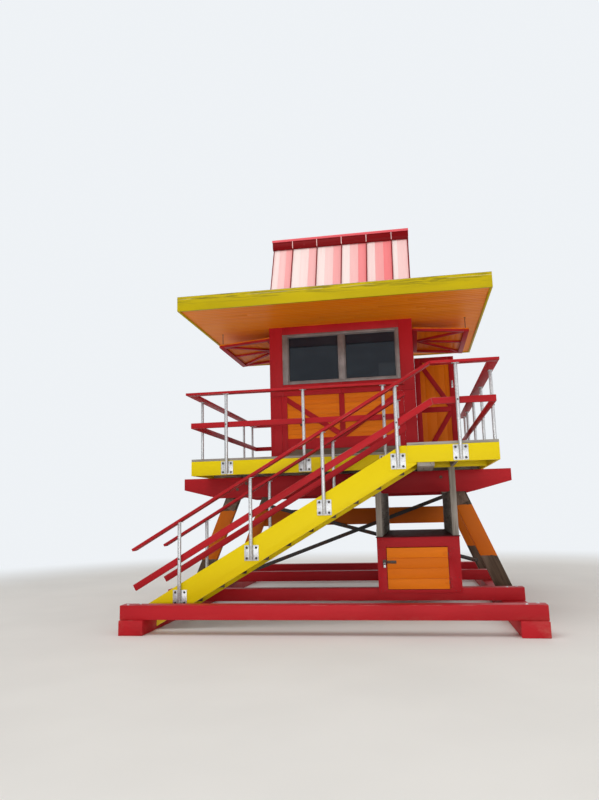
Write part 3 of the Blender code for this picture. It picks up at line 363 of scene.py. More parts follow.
class Shape:
    # a bmesh and the ways boards, rods and bolts are added to it
    def __init__(self, *nodes):
        self.mesh = bmesh.new()
        for node in nodes:
            self.mesh.from_mesh(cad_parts[node].data)
        if nodes:
            bmesh.ops.remove_doubles(self.mesh, verts=self.mesh.verts, dist=0.00005)
            bmesh.ops.dissolve_limit(self.mesh, angle_limit=math.radians(0.5),
                                     verts=self.mesh.verts, edges=self.mesh.edges)
        self.tone = self.mesh.faces.layers.float.new("tone")
        self.edge = self.mesh.faces.layers.float.new("edge")

    # rounds edges, marks them for wear and gives the new faces a shade of their own
    def soften(self, edges, rounding, tone=None):
        if rounding:
            worn = bmesh.ops.bevel(self.mesh, geom=edges, offset=rounding, segments=2, profile=0.5,
                                   affect="EDGES", material=-1)
            for face in worn["faces"]:
                face[self.edge] = 1.0
        shade = chance.uniform(0.05, 1.0) if tone is None else tone
        for face in self.mesh.faces:
            if face[self.tone] == 0.0:
                face[self.tone] = shade

    # the sharp edges of copied nodes
    def softenAll(self, rounding):
        sharp = [edge for edge in self.mesh.edges
                 if len(edge.link_faces) == 2 and edge.calc_face_angle(0.0) > math.radians(40)]
        self.soften(sharp, rounding)
        return self

    # a board between any two opposite corners
    def block(self, one, other, rounding=0.004, turn=unturned, tone=None):
        low, high = Vector(map(min, one, other)), Vector(map(max, one, other))
        place = Matrix.Translation((low + high) / 2) @ Matrix.Diagonal((*(high - low), 1.0))
        made = bmesh.ops.create_cube(self.mesh, size=1.0, matrix=turn @ place)
        edges = list({edge for corner in made["verts"] for edge in corner.link_edges})
        self.soften(edges, rounding, tone)

    # a board along each end of one axis of a box
    def ends(self, low, high, axis, width, rounding=0.004, turn=unturned):
        for start in (low[axis], high[axis] - width):
            near, far = list(low), list(high)
            near[axis], far[axis] = start, start + width
            self.block(near, far, rounding, turn)

    # an outline in X and Z, as thick as the span in Y
    def slab(self, outline, span, rounding, turn=unturned, tone=None):
        near, away = sorted(span)
        corners = [self.mesh.verts.new((x, near, z)) for x, z in outline]
        face = self.mesh.faces.new(corners)
        pushed = bmesh.ops.extrude_face_region(self.mesh, geom=[face])
        far = [part for part in pushed["geom"] if isinstance(part, bmesh.types.BMVert)]
        bmesh.ops.translate(self.mesh, verts=far, vec=(0.0, away - near, 0.0))
        whole = corners + far
        bmesh.ops.transform(self.mesh, matrix=turn, verts=whole)
        faces = list({face for corner in whole for face in corner.link_faces})
        bmesh.ops.recalc_face_normals(self.mesh, faces=faces)
        edges = list({edge for corner in whole for edge in corner.link_edges})
        self.soften(edges, rounding, tone)

    # a straight strip of board between two points of the X and Z plane
    def strip(self, start, end, width, span, rounding):
        (x0, z0), (x1, z1) = start, end
        lean = Matrix.Rotation(-math.atan2(z1 - z0, x1 - x0), 4, "Y")
        place = Matrix.Translation((x0, 0.0, z0)) @ lean
        length = math.hypot(x1 - x0, z1 - z0)
        self.block((0.0, span[0], -width / 2), (length, span[1], width / 2), rounding, place)

    def rod(self, start, end, radius, sides, farRadius=None, rounding=0.0):
        start, end = Vector(start), Vector(end)
        way = end - start
        turn = way.to_track_quat("Z", "Y").to_matrix().to_4x4()
        far = radius if farRadius is None else farRadius
        made = bmesh.ops.create_cone(self.mesh, cap_ends=True, segments=sides, radius1=radius,
                                     radius2=far, depth=way.length,
                                     matrix=Matrix.Translation((start + end) / 2) @ turn)
        rims = [edge for edge in {e for v in made["verts"] for e in v.link_edges}
                if any(len(face.verts) > 4 for face in edge.link_faces)]
        self.soften(rims, rounding, 0.5)

    # a washer and a six-sided head
    def bolt(self, at, outward, size=0.012):
        at, outward = Vector(at), Vector(outward).normalized()
        self.rod(at - outward * 0.002, at + outward * size * 0.22, size * 1.45, 16)
        self.rod(at, at + outward * size * 0.95, size * 0.92, 6, size * 0.84, size * 0.1)

    def screw(self, at, outward, size=0.0055):
        at, outward = Vector(at), Vector(outward).normalized()
        self.rod(at - outward * 0.002, at + outward * 0.0012, size, 8, size * 0.8)


def addPiece(name, shape, coating, *nodes, body="tower"):
    mesh = bpy.data.meshes.new(name)
    shape.mesh.to_mesh(mesh)
    shape.mesh.free()
    mesh.shade_smooth()
    mesh.set_sharp_from_angle(angle=math.radians(32))
    mesh.materials.append(coating[0])
    piece = addObject(name, mesh)
    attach(piece, body)
    if nodes:
        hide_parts(*nodes)


# a node of the frame with its sharp edges rounded, named after it unless a name is given
def addCopy(node, rounding, coating, name=None):
    first, *others = node.split("_")
    name = name or first + "".join(word.title() for word in others)
    addPiece(name, Shape(node).softenAll(rounding), coating, node)


# boards side by side that fill a span, as (low, high) pairs
def boardSpans(start, end, pitch, gap):
    count = max(1, round((end - start) / pitch))
    step = (end - start) / count
    return [(start + i * step + gap / 2, start + (i + 1) * step - gap / 2) for i in range(count)]


# boards laid along one axis, with a tongue behind each joint that closes it
def boarding(shape, low, high, across, pitch, gap, tongue, rounding, turn=unturned):
    spans = boardSpans(low[across], high[across], pitch, gap)
    for near, far in spans:
        start, end = list(low), list(high)
        start[across], end[across] = near, far
        shape.block(start, end, rounding, turn)
    thin = tongue[0]
    for (_, far), (near, _) in zip(spans, spans[1:]):
        start, end = list(low), list(high)
        start[across], end[across] = far - 0.002, near + 0.002
        start[thin], end[thin] = tongue[1], tongue[2]
        shape.block(start, end, 0.0, turn, 0.02)


base = {"rounding": 0.007, "boltShift": 0.07, "boltSkew": 0.6}


def makeBase():
    for side in ("left", "right"):
        addCopy(f"runner_{side}", base["rounding"], paintedWood("red", "y", 0.5))
    bolts = Shape()
    for number in range(1, 5):
        node = f"base_beam_{number}"
        low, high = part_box(node)
        addCopy(node, base["rounding"], paintedWood("red", "x", 0.5), f"crossBeam{number}")
        for side in ("left", "right"):
            runLow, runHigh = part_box(f"runner_{side}")
            for shift in (-base["boltShift"], base["boltShift"]):
                x, z = (runLow.x + runHigh.x) / 2 + shift, high.z
                y = (low.y + high.y) / 2 + shift * base["boltSkew"]
                bolts.rod((x, y, z - 0.002), (x, y, z + 0.004), 0.020, 20, rounding=0.0025)
                bolts.rod((x, y, z), (x, y, z + 0.011), 0.014, 20, 0.008, 0.003)
    addPiece("baseBolts", bolts, galvanised())


makeBase()
print("base made")

supports = {"rounding": 0.006, "footReach": 2.53, "topReach": 1.732, "foot": 0.1903, "top": 2.1094,
            "plateLow": 1.575, "plateHigh": 1.755, "plateWidth": 0.20, "plateThickness": 0.007,
            "bare": (0.75, 1.553), "boltSize": 0.016, "girderBolts": 1.955, "braceSteel": 0.0083,
            "braceEnds": {"left": ((-1.84, 1.64), (2.35, 0.46)), "right": ((1.81, 1.745), (-2.44, 0.24))}}


def legMiddle(z):
    share = (supports["top"] - z) / (supports["top"] - supports["foot"])
    return supports["topReach"] + (supports["footReach"] - supports["topReach"]) * share


def makeLeg(row, side, plates, bolts):
    sign = -1 if side == "left" else 1
    outside = -1 if row == "front" else 1
    node = f"leg_{row}_{side}"
    low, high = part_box(node)
    foot, bottom, top = supports["foot"], supports["plateLow"], supports["plateHigh"]
    lean = math.atan2(supports["footReach"] - supports["topReach"], supports["top"] - foot)
    along = round(math.degrees(sign * (math.pi / 2 + lean)), 2)
    addCopy(node, supports["rounding"], paintedWood("amber", along, 0.7, supports["bare"]))
    face = low.y if row == "front" else high.y
    outer = face + outside * supports["plateThickness"]
    plates.strip((sign * legMiddle(bottom), bottom), (sign * legMiddle(top), top),
                 supports["plateWidth"], (face, outer), 0.002)
    for z in (bottom + 0.045, top - 0.045):
        bolts.bolt((sign * legMiddle(z), outer, z), (0, outside, 0), supports["boltSize"])
    inner = legMiddle(foot) - 0.13
    for y in (low.y + 0.02, high.y - 0.02):
        plates.block((sign * (inner - 0.055), y - 0.03, foot),
                     (sign * (inner - 0.001), y + 0.03, foot + 0.006), 0.0015)


def makeSupports():
    plates, bolts = Shape(), Shape()
    for row, outside in (("front", -1), ("rear", 1)):
        for side in ("left", "right"):
            makeLeg(row, side, plates, bolts)
        low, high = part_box(f"girder_{row}")
        addCopy(f"girder_{row}", supports["rounding"], paintedWood("red", "x", 0.5))
        face = low.y if row == "front" else high.y
        for sign, shift in product((-1, 1), (-0.06, 0.06)):
            z = supports["girderBolts"] - shift * 0.8
            bolts.bolt((sign * (legMiddle(z) - 0.09 + shift), face, z),
                       (0, outside, 0), supports["boltSize"] * 1.15)
    addCopy("tie_beam_rear", supports["rounding"], paintedWood("amber", "x", 0.5))
    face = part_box("leg_rear_left")[0].y
    for layer, side in enumerate(("left", "right"), 1):
        addCopy(f"brace_rising_{side}", 0.0012, darkSteel())
        start, end = (Vector((x, 0.0, z)) for x, z in supports["braceEnds"][side])
        inward = (end - start).normalized() * 0.035
        for spot in (start + inward, end - inward):
            bolts.bolt((spot.x, face - layer * supports["braceSteel"], spot.z), (0, -1, 0), 0.012)
    addPiece("legPlates", plates, plateSteel())
    addPiece("legBolts", bolts, plateSteel())


makeSupports()
print("supports made")

deck = {"plankWidth": 0.145, "plankGap": 0.006, "rounding": 0.0045, "screwInset": 0.032,
        "rim": 0.038, "joists": (0.6445, 1.2, 1.7555), "landingJoist": 1.7555, "ledger": (0.125, 0.345),
        "blockRise": 0.02}


def layPlanks(name, screws, lines):
    low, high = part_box(f"{name}_boards")
    half = deck["rim"] / 2
    rims = {"left": low.x + half, "right": high.x - half}
    planks = Shape()
    for near, far in boardSpans(low.y, high.y, deck["plankWidth"], deck["plankGap"]):
        drop = chance.uniform(0.0, 0.0022)
        trim = chance.uniform(0.0, 0.004)
        planks.block((low.x + trim, near, low.z), (high.x - trim, far, high.z - drop), deck["rounding"])
        for line in lines:
            for y in (near + deck["screwInset"], far - deck["screwInset"]):
                x = rims.get(line, line) + chance.uniform(-0.006, 0.006)
                screws.screw((x, y, high.z - drop), (0, 0, 1))
    addPiece(f"{name}Planks", planks, bareTimber("x"), f"{name}_boards")


# rim boards round a box, with joists between them
def frameUp(across, deep, inner, low, high, joists):
    thick = deck["rim"]
    across.ends(low, high, 1, thick)
    low, high = (low[0], low[1] + thick, low[2]), (high[0], high[1] - thick, high[2])
    deep.ends(low, high, 0, thick)
    for x in joists:
        inner.block((x - thick / 2, *low[1:]), (x + thick / 2, *high[1:]))


def makeDeck():
    screws, across, deep, inner = Shape(), Shape(), Shape(), Shape()
    half, thick = deck["rim"] / 2, deck["rim"]
    joists = [0.0] + [sign * x for x in deck["joists"] for sign in (-1, 1)]
    layPlanks("deck", screws, [*joists, "left", "right"])
    layPlanks("landing", screws, ["left", deck["landingJoist"], "right"])
    addPiece("plankScrews", screws, darkSteel())

    low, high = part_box("deck_frame")
    frameUp(across, deep, inner, low, high, joists)
    marks = sorted([low.x + thick, high.x - thick] + [x + s * half for x in joists for s in (-1, 1)])
    for number in range(1, 4):
        y = low.y + (high.y - low.y) * number / 4
        for left, right in zip(marks[::2], marks[1::2]):
            inner.block((left, y - half, low.z + deck["blockRise"]), (right, y + half, high.z))
    landLow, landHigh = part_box("landing_frame")
    frameUp(across, deep, inner, (landLow.x, landLow.y, low.z), (landHigh.x, landHigh.y, high.z),
            [deck["landingJoist"]])
    near, far = deck["ledger"]
    inner.block((landLow.x + near, landLow.y + 0.02, landLow.z),
                (landLow.x + far, landHigh.y - 0.02, low.z))
    addPiece("rimBoardsAcross", across, paintedWood("yellow", "x", 0.6), "deck_frame")
    addPiece("rimBoardsDeep", deep, paintedWood("yellow", "y", 0.6), "landing_frame")
    addPiece("joists", inner, bareTimber("y"))


makeDeck()
print("deck made")

stair = {"rise": 0.1978, "run": 0.3445, "steps": 10, "rounding": 0.005, "gap": 0.006,
         "cleatHeight": 0.140, "cleatThickness": 0.038, "cleatInset": 0.024, "thickness": 0.038,
         "boardWidth": 0.14}
slope = math.degrees(math.atan2(stair["rise"], stair["run"]))


def makeStair():
    for side in ("front", "back"):
        addCopy(f"stringer_{side}", stair["rounding"], paintedWood("yellow", round(slope, 2), 0.6))
    treads, cleats, screws = Shape(), Shape(), Shape()
    nodes = [f"tread_{number:02d}" for number in range(1, stair["steps"] + 1)]
    for node in nodes:
        low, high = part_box(node)
        under = high.z - stair["thickness"]
        for near, far in boardSpans(low.x, high.x, stair["boardWidth"], stair["gap"]):
            drop = chance.uniform(0.0, 0.0015)
            treads.block((near, low.y, under), (far, high.y, high.z - drop), stair["rounding"])
            for y, x in product((low.y + 0.022, high.y - 0.022), (near + 0.035, far - 0.035)):
                screws.screw((x, y, high.z - drop), (0, 0, 1))
        inset = stair["cleatInset"]
        for y, inward in ((low.y, 1), (high.y, -1)):
            inside = y + inward * stair["cleatThickness"]
            cleats.block((low.x + inset, y, under - stair["cleatHeight"]),
                         (high.x - inset, inside, under - 0.0004), 0.004)
            for x in (low.x + 0.07, high.x - 0.07):
                screws.screw((x, inside, under - 0.045), (0, inward, 0), 0.006)
    addPiece("treads", treads, bareTimber("y"), *nodes)
    addPiece("treadCleats", cleats, bareTimber("x", "brown"))
    addPiece("treadScrews", screws, darkSteel())


makeStair()
print("stair made")

rails = {"top": 3.443, "topWidth": 0.140, "topThickness": 0.038, "outside": 0.045,
         "midDrop": 0.486, "midHeight": 0.089, "midThickness": 0.038, "tube": 0.0242,
         "plateThickness": 0.006, "plateWidth": 0.195, "plateHeight": 0.205, "postOut": 0.0285,
         "kink": 1.47, "lowEnd": -2.675, "rounding": 0.0055, "joint": 0.003, "bite": 0.002,
         "plateBolt": 0.0115, "railBolt": 0.008, "seat": 0.0003, "stringerDepth": 0.315,
         "stringerStart": 0.0853,
         "stairPosts": {"Front": (-2.0, -1.0, 0.0, 1.0, 1.81), "Back": (-2.0, -1.0, 0.0, 1.0)},
         "posts": {"Front": (-1.71, -0.46, 0.79), "Rear": (-1.875, -0.625, 0.625, 1.875),
                   "Left": (2.816, 2.066, 0.656, -0.754), "Right": (2.816, 2.066, 0.656, -0.754, -2.10)}}


# a rail that follows the stair to the kink and then runs level, mitred there
def slopedRail(shape, end, top, depth, across):
    rise = math.tan(math.radians(slope))
    sine, cosine = math.sin(math.radians(slope)), math.cos(math.radians(slope))
    start, kink = rails["lowEnd"], rails["kink"]
    lowTop = top - rise * (kink - start)
    reached = min(end, kink)
    topAt = top - rise * (kink - reached)
    miter = depth * math.tan(math.radians(slope) / 2)
    under = (reached + miter, top - depth) if end > kink else (end, topAt - depth / cosine)
    shape.slab([(start, lowTop), (start + depth * sine, lowTop - depth * cosine),
                under, (reached, topAt)], across, rails["rounding"])
    if end > kink:
        gap = rails["joint"]
        shape.slab([(kink + gap, top), (kink + gap + miter, top - depth),
                    (end, top - depth), (end, top)], across, rails["rounding"])


# a point along a run, across it and up; a run lies along X (0) or Y (1)
def runSpot(axis, along, across, z=0.0):
    return Vector((along, across, z) if axis == 0 else (across, along, z))


# a round post with its plate on the face and a flange under the top rail
def railPost(tubes, bolts, axis, along, face, outward, plate, head, mid):
    way = runSpot(axis, 0.0, outward)
    post, inside = face + outward * rails["postOut"], face + outward * rails["seat"]
    outer = inside + outward * rails["plateThickness"]
    wide, half = rails["plateWidth"] / 2, rails["plateHeight"] / 2
    tubes.block(runSpot(axis, along - wide, inside, plate - half),
                runSpot(axis, along + wide, outer, plate + half), 0.0015)
    tubes.rod(runSpot(axis, along, post, plate - half * 0.84), runSpot(axis, along, post, head),
              rails["tube"], 28, rounding=0.002)
    tubes.block(runSpot(axis, along - 0.05, post - 0.03, head - 0.005),
                runSpot(axis, along + 0.05, post + 0.03, head), 0.001)
    for x in (along - wide * 0.66, along + wide * 0.66):
        for z in (plate - half * 0.68, plate + half * 0.68):
            bolts.bolt(runSpot(axis, x, outer, z), way, rails["plateBolt"])
    bolts.bolt(runSpot(axis, along, post + outward * (rails["tube"] - 0.001), mid), way, rails["railBolt"])


# the spans that the top and the middle rail take across a run
def railSpans(face, outward):
    post = face + outward * rails["postOut"]
    side = post - outward * (rails["tube"] - rails["bite"])
    far = post + outward * rails["outside"]
    return ((far, far - outward * rails["topWidth"]), (side, side - outward * rails["midThickness"]))


def makeRailings():
    top, thick, deep = rails["top"], rails["topThickness"], rails["midHeight"]
    midTop = top - rails["midDrop"]
    rise = math.tan(math.radians(slope))
    tubes, bolts = Shape(), Shape()
    deckLow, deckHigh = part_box("deck_frame")
    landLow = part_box("landing_frame")[0]
    rim = (deckLow.z + deckHigh.z) / 2
    inner = rails["postOut"] - rails["tube"] + rails["bite"]
    overhang = rails["outside"] + rails["postOut"]
    corner, midCorner = deckHigh.x + overhang, deckHigh.x + inner
    halfDrop = rails["stringerDepth"] / math.cos(math.radians(slope)) / 2
    for name, face, outward, topEnd, midEnd in (("Front", landLow.y, -1, corner, midCorner),
            ("Back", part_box("stringer_back")[1].y, 1, landLow.x, landLow.x)):
        topSpan, midSpan = railSpans(face, outward)
        timbers = Shape()
        slopedRail(timbers, topEnd, top, thick, topSpan)
        slopedRail(timbers, midEnd, midTop, deep, midSpan)
        addPiece(f"stairRails{name}", timbers, paintedWood("red", round(slope, 2), 0.7),
                 f"stair_railing_{name.lower()}")
        for x in rails["stairPosts"][name]:
            fall = rise * max(0.0, rails["kink"] - x)
            edge = deckHigh.z + rise * (x - (landLow.x - rails["stringerStart"]))
            railPost(tubes, bolts, 0, x, face, outward, rim if x > landLow.x else edge - halfDrop,
                     top - fall - thick, midTop - fall - deep / 2)

    # level runs: the side rails end against those at the front and the rear
    topIn = rails["topWidth"] - overhang + rails["seat"]
    midIn = rails["midThickness"] - inner + rails["seat"]
    rearTop, rearMid = deckHigh.y - topIn, deckHigh.y - midIn
    for name, axis, face, outward, topEnds, midEnds, joint in (
            ("Front", 0, deckLow.y, -1, (-corner, landLow.x), (-midCorner, landLow.x), 1),
            ("Rear", 0, deckHigh.y, 1, (-corner, corner), (-midCorner, midCorner), 2),
            ("Left", 1, deckLow.x, -1, (deckLow.y + topIn, rearTop), (deckLow.y + midIn, rearMid), 2),
            ("Right", 1, deckHigh.x, 1, (landLow.y + topIn, rearTop), (landLow.y + midIn, rearMid), 2)):
        posts = rails["posts"][name]
        topSpan, midSpan = railSpans(face, outward)
        timbers = Shape()
        for (start, end), depth, height, span in ((topEnds, thick, top, topSpan),
                                                  (midEnds, deep, midTop, midSpan)):
            for near, far in ((start, posts[joint]), (posts[joint] + rails["joint"], end)):
                timbers.block(runSpot(axis, near, span[0], height - depth),
                              runSpot(axis, far, span[1], height), rails["rounding"])
        addPiece(f"deckRails{name}", timbers, paintedWood("red", "xy"[axis], 0.7),
                 f"deck_railing_{name.lower()}")
        for along in posts:
            railPost(tubes, bolts, axis, along, face, outward, rim, top - thick, midTop - deep / 2)
    addPiece("railPosts", tubes, (galvanised()[0], "aluminium"))
    addPiece("railBolts", bolts, darkSteel())


makeRailings()
print("railings made")

storage = {"boards": 4, "boardGap": 0.005, "hinge": (1.6225, -1.4973), "hingeInset": 0.095,
           "hasp": 0.745, "post": 0.089, "panel": 0.03, "panelPitch": 0.14, "lidPitch": 0.42}
knuckle = {"half": 0.0245, "radius": 0.007}


def addKnuckle(steel, x, y, z):
    half = knuckle["half"]
    steel.rod((x, y, z - half), (x, y, z + half), knuckle["radius"], 16, rounding=0.001)


def makeBoxDoor(low, high):
    doorLow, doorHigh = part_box("box_door")
    x, y = storage["hinge"]
    left, face, hasp, half = doorLow.x, low.y, storage["hasp"], knuckle["half"]
    boards, steel, fixed, lock = Shape(), Shape(), Shape(), Shape()
    boarding(boards, (left, face + 0.001, doorLow.z), (x - 0.0025, face + 0.0275, doorHigh.z), 2,
             (doorHigh.z - doorLow.z) / storage["boards"], storage["boardGap"],
             (1, face + 0.012, face + 0.0265), 0.0035)
    for z in (doorLow.z + storage["hingeInset"], doorHigh.z - storage["hingeInset"]):
        addKnuckle(steel, x, y, z)
        steel.block((x - 0.004, face - 0.004, z - half), (x, face + 0.0015, z + half), 0.001)
        # the leaf is painted over with the boards
        boards.block((x - 0.06, face - 0.004, z - half), (x - 0.004, face + 0.002, z + half), 0.001)
        for shape, insets, shifts in ((boards, (-0.0275, -0.0475), (-0.013, 0.013)),
                                      (fixed, (0.0145, 0.0295), (-0.05, 0.05))):
            for inset in insets:
                for shift in shifts:
                    shape.screw((x + inset, face - 0.004, z + shift), (0, -1, 0), 0.004)
    addPiece("boxDoorBoards", boards, paintedWood("orange", "x", 0.6), "box_door", body="box_door")
    steel.block((left - 0.001, face - 0.006, hasp - 0.021),
                (left + 0.135, face + 0.0015, hasp + 0.021), 0.0015)
    steel.rod((left + 0.018, face - 0.004, hasp), (left + 0.018, face - 0.026, hasp), 0.008, 14,
              rounding=0.0015)
    for inset, shift in product((0.07, 0.115), (-0.010, 0.010)):
        steel.screw((left + inset, face - 0.006, hasp + shift), (0, -1, 0), 0.004)
    addPiece("boxDoorSteel", steel, darkSteel(), body="box_door")
    fixed.block((low.x + 0.078, face - 0.005, hasp - 0.036),
                (low.x + 0.128, face + 0.001, hasp + 0.036), 0.0015)
    fixed.block((low.x + 0.098, face - 0.024, hasp - 0.006),
                (low.x + 0.108, face - 0.004, hasp + 0.006), 0.002)
    for x in (low.x + 0.035, high.x - 0.035, low.x + 0.09, high.x - 0.09):
        for z in (0.335, high.z - 0.03, 0.52, 0.93):
            fixed.screw((x, face, z), (0, -1, 0), 0.005)
    addPiece("boxFaceSteel", fixed, darkSteel())
    x, y = low.x + 0.103, face - 0.018
    lock.block((x - 0.017, y - 0.007, hasp - 0.078), (x + 0.017, y + 0.007, hasp - 0.040), 0.003)
    for shift in (-0.010, 0.010):
        lock.rod((x + shift, y, hasp - 0.042), (x + shift, y, hasp - 0.010), 0.003, 10)
    lock.rod((x - 0.013, y, hasp - 0.010), (x + 0.013, y, hasp - 0.010), 0.003, 10)
    addPiece("boxPadlock", lock, galvanised())


def makeStorageBox():
    addCopy("storage_box", 0.0022, paintedWood("red", "x", 0.5), "storageCarcass")
    low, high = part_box("storage_box")
    lid = Shape()
    for near, far in boardSpans(low.y + 0.002, high.y - 0.002, storage["lidPitch"], 0.003):
        lid.block((low.x - 0.012, near, high.z - 0.004), (high.x + 0.012, far, high.z + 0.009), 0.003)
    addPiece("storageLid", lid, paintedWood("maroon", "y", 0.7))
    makeBoxDoor(low, high)
    posts, panels, brackets = Shape(), Shape(), Shape()
    size, thick = storage["post"], storage["panel"]
    top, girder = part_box("leg_front_left")[1].z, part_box("girder_front")[0].z
    nodes = [f"deck_post_{row}_{side}" for row in ("front", "rear") for side in ("left", "right")]
    for node in nodes:
        low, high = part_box(node)
        posts.block((low.x, low.y, low.z), (high.x, low.y + size, top), 0.006)
        if "front" in node:
            inner = high.x - thick if "left" in node else low.x
            boarding(panels, (inner, low.y + size - 0.001, low.z + 0.0095),
                     (inner + thick, high.y, girder - 0.0003), 2, storage["panelPitch"], 0.004,
                     (0, inner + 0.008, inner + 0.022), 0.003)
        sign, face = (-1, low.x) if "left" in node else (1, high.x)
        outer, middle = face + sign * 0.004, low.y + size / 2
        brackets.block((face, middle - 0.03, low.z + 0.009), (outer, middle + 0.03, low.z + 0.13), 0.001)
        for z in (low.z + 0.05, low.z + 0.10):
            brackets.bolt((outer, middle, z), (sign, 0, 0), 0.007)
    addPiece("deckPosts", posts, bareTimber("z"), *nodes)
    addPiece("postPanels", panels, bareTimber("y"))
    addPiece("postBrackets", brackets, galvanised())


makeStorageBox()
print("storage box made")

hut = {"reach": 1.303, "front": 0.045, "rear": 2.075, "low": 2.3743, "high": 4.8647,
       "wall": 0.10, "boards": (0.017, 0.037), "trim": 0.019, "lining": (0.084, 0.10),
       "boardPitch": 0.086, "boardGap": 0.0025, "corner": 0.21, "cornerStrip": 0.10,
       "bandLow": 2.60, "bandTop": 2.795, "sillLow": 3.57, "sillHigh": 3.782, "headLow": 4.717,
       "centrePost": 0.097, "diagonal": 0.092, "window": 1.0603, "seat": 0.0003,
       "sideOpening": (3.80, 4.60), "sideInset": 0.28, "doorway": (0.5927, 1.2027),
       "doorwayHigh": 4.524, "doorPost": 0.12,
       "bandFoot": 3.572, "sillJoint": 3.672, "liningTop": 3.69, "rearBand": 3.72, "rearHead": 4.70,
       "lintelJoint": 4.69}


class Wall:
    # one wall in its own frame: along it, into it and up
    def __init__(self, side):
        self.side = side
        x, y, quarters = {"front": (0.0, hut["front"], 0), "rear": (0.0, hut["rear"], 2),
                          "left": (-hut["reach"], 0.0, -1), "right": (hut["reach"], 0.0, 1)}[side]
        self.place = (Matrix.Translation((x, y, 0.0)) @ Matrix.Rotation(quarters * math.pi / 2, 4, "Z"))
        self.trim, self.boards, self.lining = Shape(), Shape(), Shape()

    def board(self, left, right, low, high, depth=hut["trim"], rounding=0.004, face=0.0):
        self.trim.block((left, face, low), (right, depth, high), rounding, self.place)

    # a centre post and two diagonals that fall to its foot
    def brace(self, left, right):
        low, high = hut["bandTop"], hut["sillLow"]
        middle, reach = (left + right) / 2, (right - left) / 2
        half, wide = hut["centrePost"] / 2, hut["diagonal"] / 2
        self.board(middle - half, middle + half, low, high)
        foot, head = low + 0.055, high - 0.07
        for _ in range(3):
            drop = wide / math.cos(math.atan2(head - foot, reach - half))
            foot, head = low + drop, high - drop - 0.012
        for sign in (-1, 1):
            near, far = middle + sign * half, middle + sign * reach
            outline = [(near, foot - drop), (near, foot + drop), (far, head + drop),
                       (far, head - drop)][::sign]
            self.trim.slab(outline, (0.001, hut["trim"]), 0.0035, self.place)

    # a bare strip, red bands, bracing and boards between two posts, lined inside
    def infill(self, bare, left, right, boardTop, liningTop, bands=()):
        bare.block((left, 0.004, hut["low"]), (right, hut["trim"] + 0.016, hut["bandLow"] - 0.003),
                   0.004, self.place)
        for low, high, depth in ((hut["bandLow"], hut["bandTop"], hut["trim"]), *bands):
            self.board(left, right, low, high, depth)
        self.brace(left, right)
        for shape, low, high, (front, back) in (
                (self.boards, hut["bandTop"] - 0.02, boardTop, hut["boards"]),
                (self.lining, hut["low"], liningTop, hut["lining"])):
            boarding(shape, (left, front, low), (right, back, high), 2, hut["boardPitch"],
                     hut["boardGap"], (1, front + 0.006, back - 0.002), 0.0016, self.place)

    def nail(self, screws, spots, heights):
        outward = self.place.to_3x3() @ Vector((0, -1, 0))
        for along in spots:
            for z in heights:
                screws.screw(self.place @ Vector((along, 0.0, z)), outward, 0.0045)

    def done(self, wear, boardWear):
        along = "x" if self.side in ("front", "rear") else "y"
        addPiece(f"{self.side}WallTrim", self.trim, paintedWood("red", "z", wear), f"hut_{self.side}_wall")
        addPiece(f"{self.side}WallBoards", self.boards, paintedWood("orange", along, boardWear))
        # the lining's dark navy is painted shade of the hut's inside
        addPiece(f"{self.side}WallLining", self.lining, paintedWood("inside", along, 0.2))


# a large window over a red band, orange boards below
def makeFrontWall(bare, screws):
    front = Wall("front")
    low, high, wall, trim = hut["low"], hut["high"], hut["wall"], hut["trim"]
    reach, jamb, sill = hut["reach"], hut["window"], hut["sillLow"]
    corner = reach - hut["corner"]
    edge, joint = corner - hut["cornerStrip"], hut["sillJoint"]
    for sign in (-1, 1):
        front.board(sign * reach, sign * (corner + 0.001), low, sill, wall)
        front.board(sign * (corner - 0.001), sign * edge, low, sill)
        front.lining.block((sign * corner, trim, low), (sign * edge, wall, sill), 0.0, front.place)
        front.board(sign * reach, sign * jamb, sill + 0.002, high, wall, 0.005)
        # the sill and head bands meet over the centre post
        front.board(sign * jamb, sign * 0.001, sill + 0.002, joint)
        front.board(sign * jamb, sign * 0.001, joint + 0.002, hut["sillHigh"] - hut["seat"], wall,
                    face=-0.002)
    front.board(-jamb, jamb, hut["headLow"] + hut["seat"], high, wall)
    front.infill(bare, -edge, edge, sill + 0.01, 3.67)
    front.nail(screws, [sign * (reach - shift) for sign in (-1, 1) for shift in (0.05, 0.15)],
               (2.7, 3.1, 3.45, 4.0, 4.35, 4.65))
    front.nail(screws, (-0.9, -0.3, 0.3, 0.9), (2.65, 3.62, 4.79))
    front.done(0.4, 0.3)


# an opening that the shutter would close if it were let down
def makeSideWall(side, bare, screws):
    wall = Wall(side)
    low, high, deep = hut["low"], hut["high"], hut["wall"]
    openLow, openHigh = hut["sideOpening"]
    flip = -1 if side == "left" else 1
    ends = (hut["front"] + deep + hut["seat"], hut["rear"])
    start, end = sorted(flip * y for y in ends)
    left, right = sorted(flip * y for y in (hut["front"] + hut["sideInset"],
                                            hut["rear"] - hut["sideInset"]))
    wall.board(start, left, low, high, deep, 0.005)
    wall.board(right, end, low, high, deep, 0.005)
    wall.board(left, right, openHigh, high, deep)
    wall.board(left, right, hut["liningTop"], openLow, deep)
    wall.board(left, right, hut["bandFoot"], hut["liningTop"] - 0.003)
    wall.infill(bare, left, right, hut["sillLow"] + 0.01, hut["liningTop"])
    wall.nail(screws, (left - 0.05, right + 0.05), (2.5, 3.0, 3.5, 4.0, 4.5))
    wall.done(0.5, 0.4)


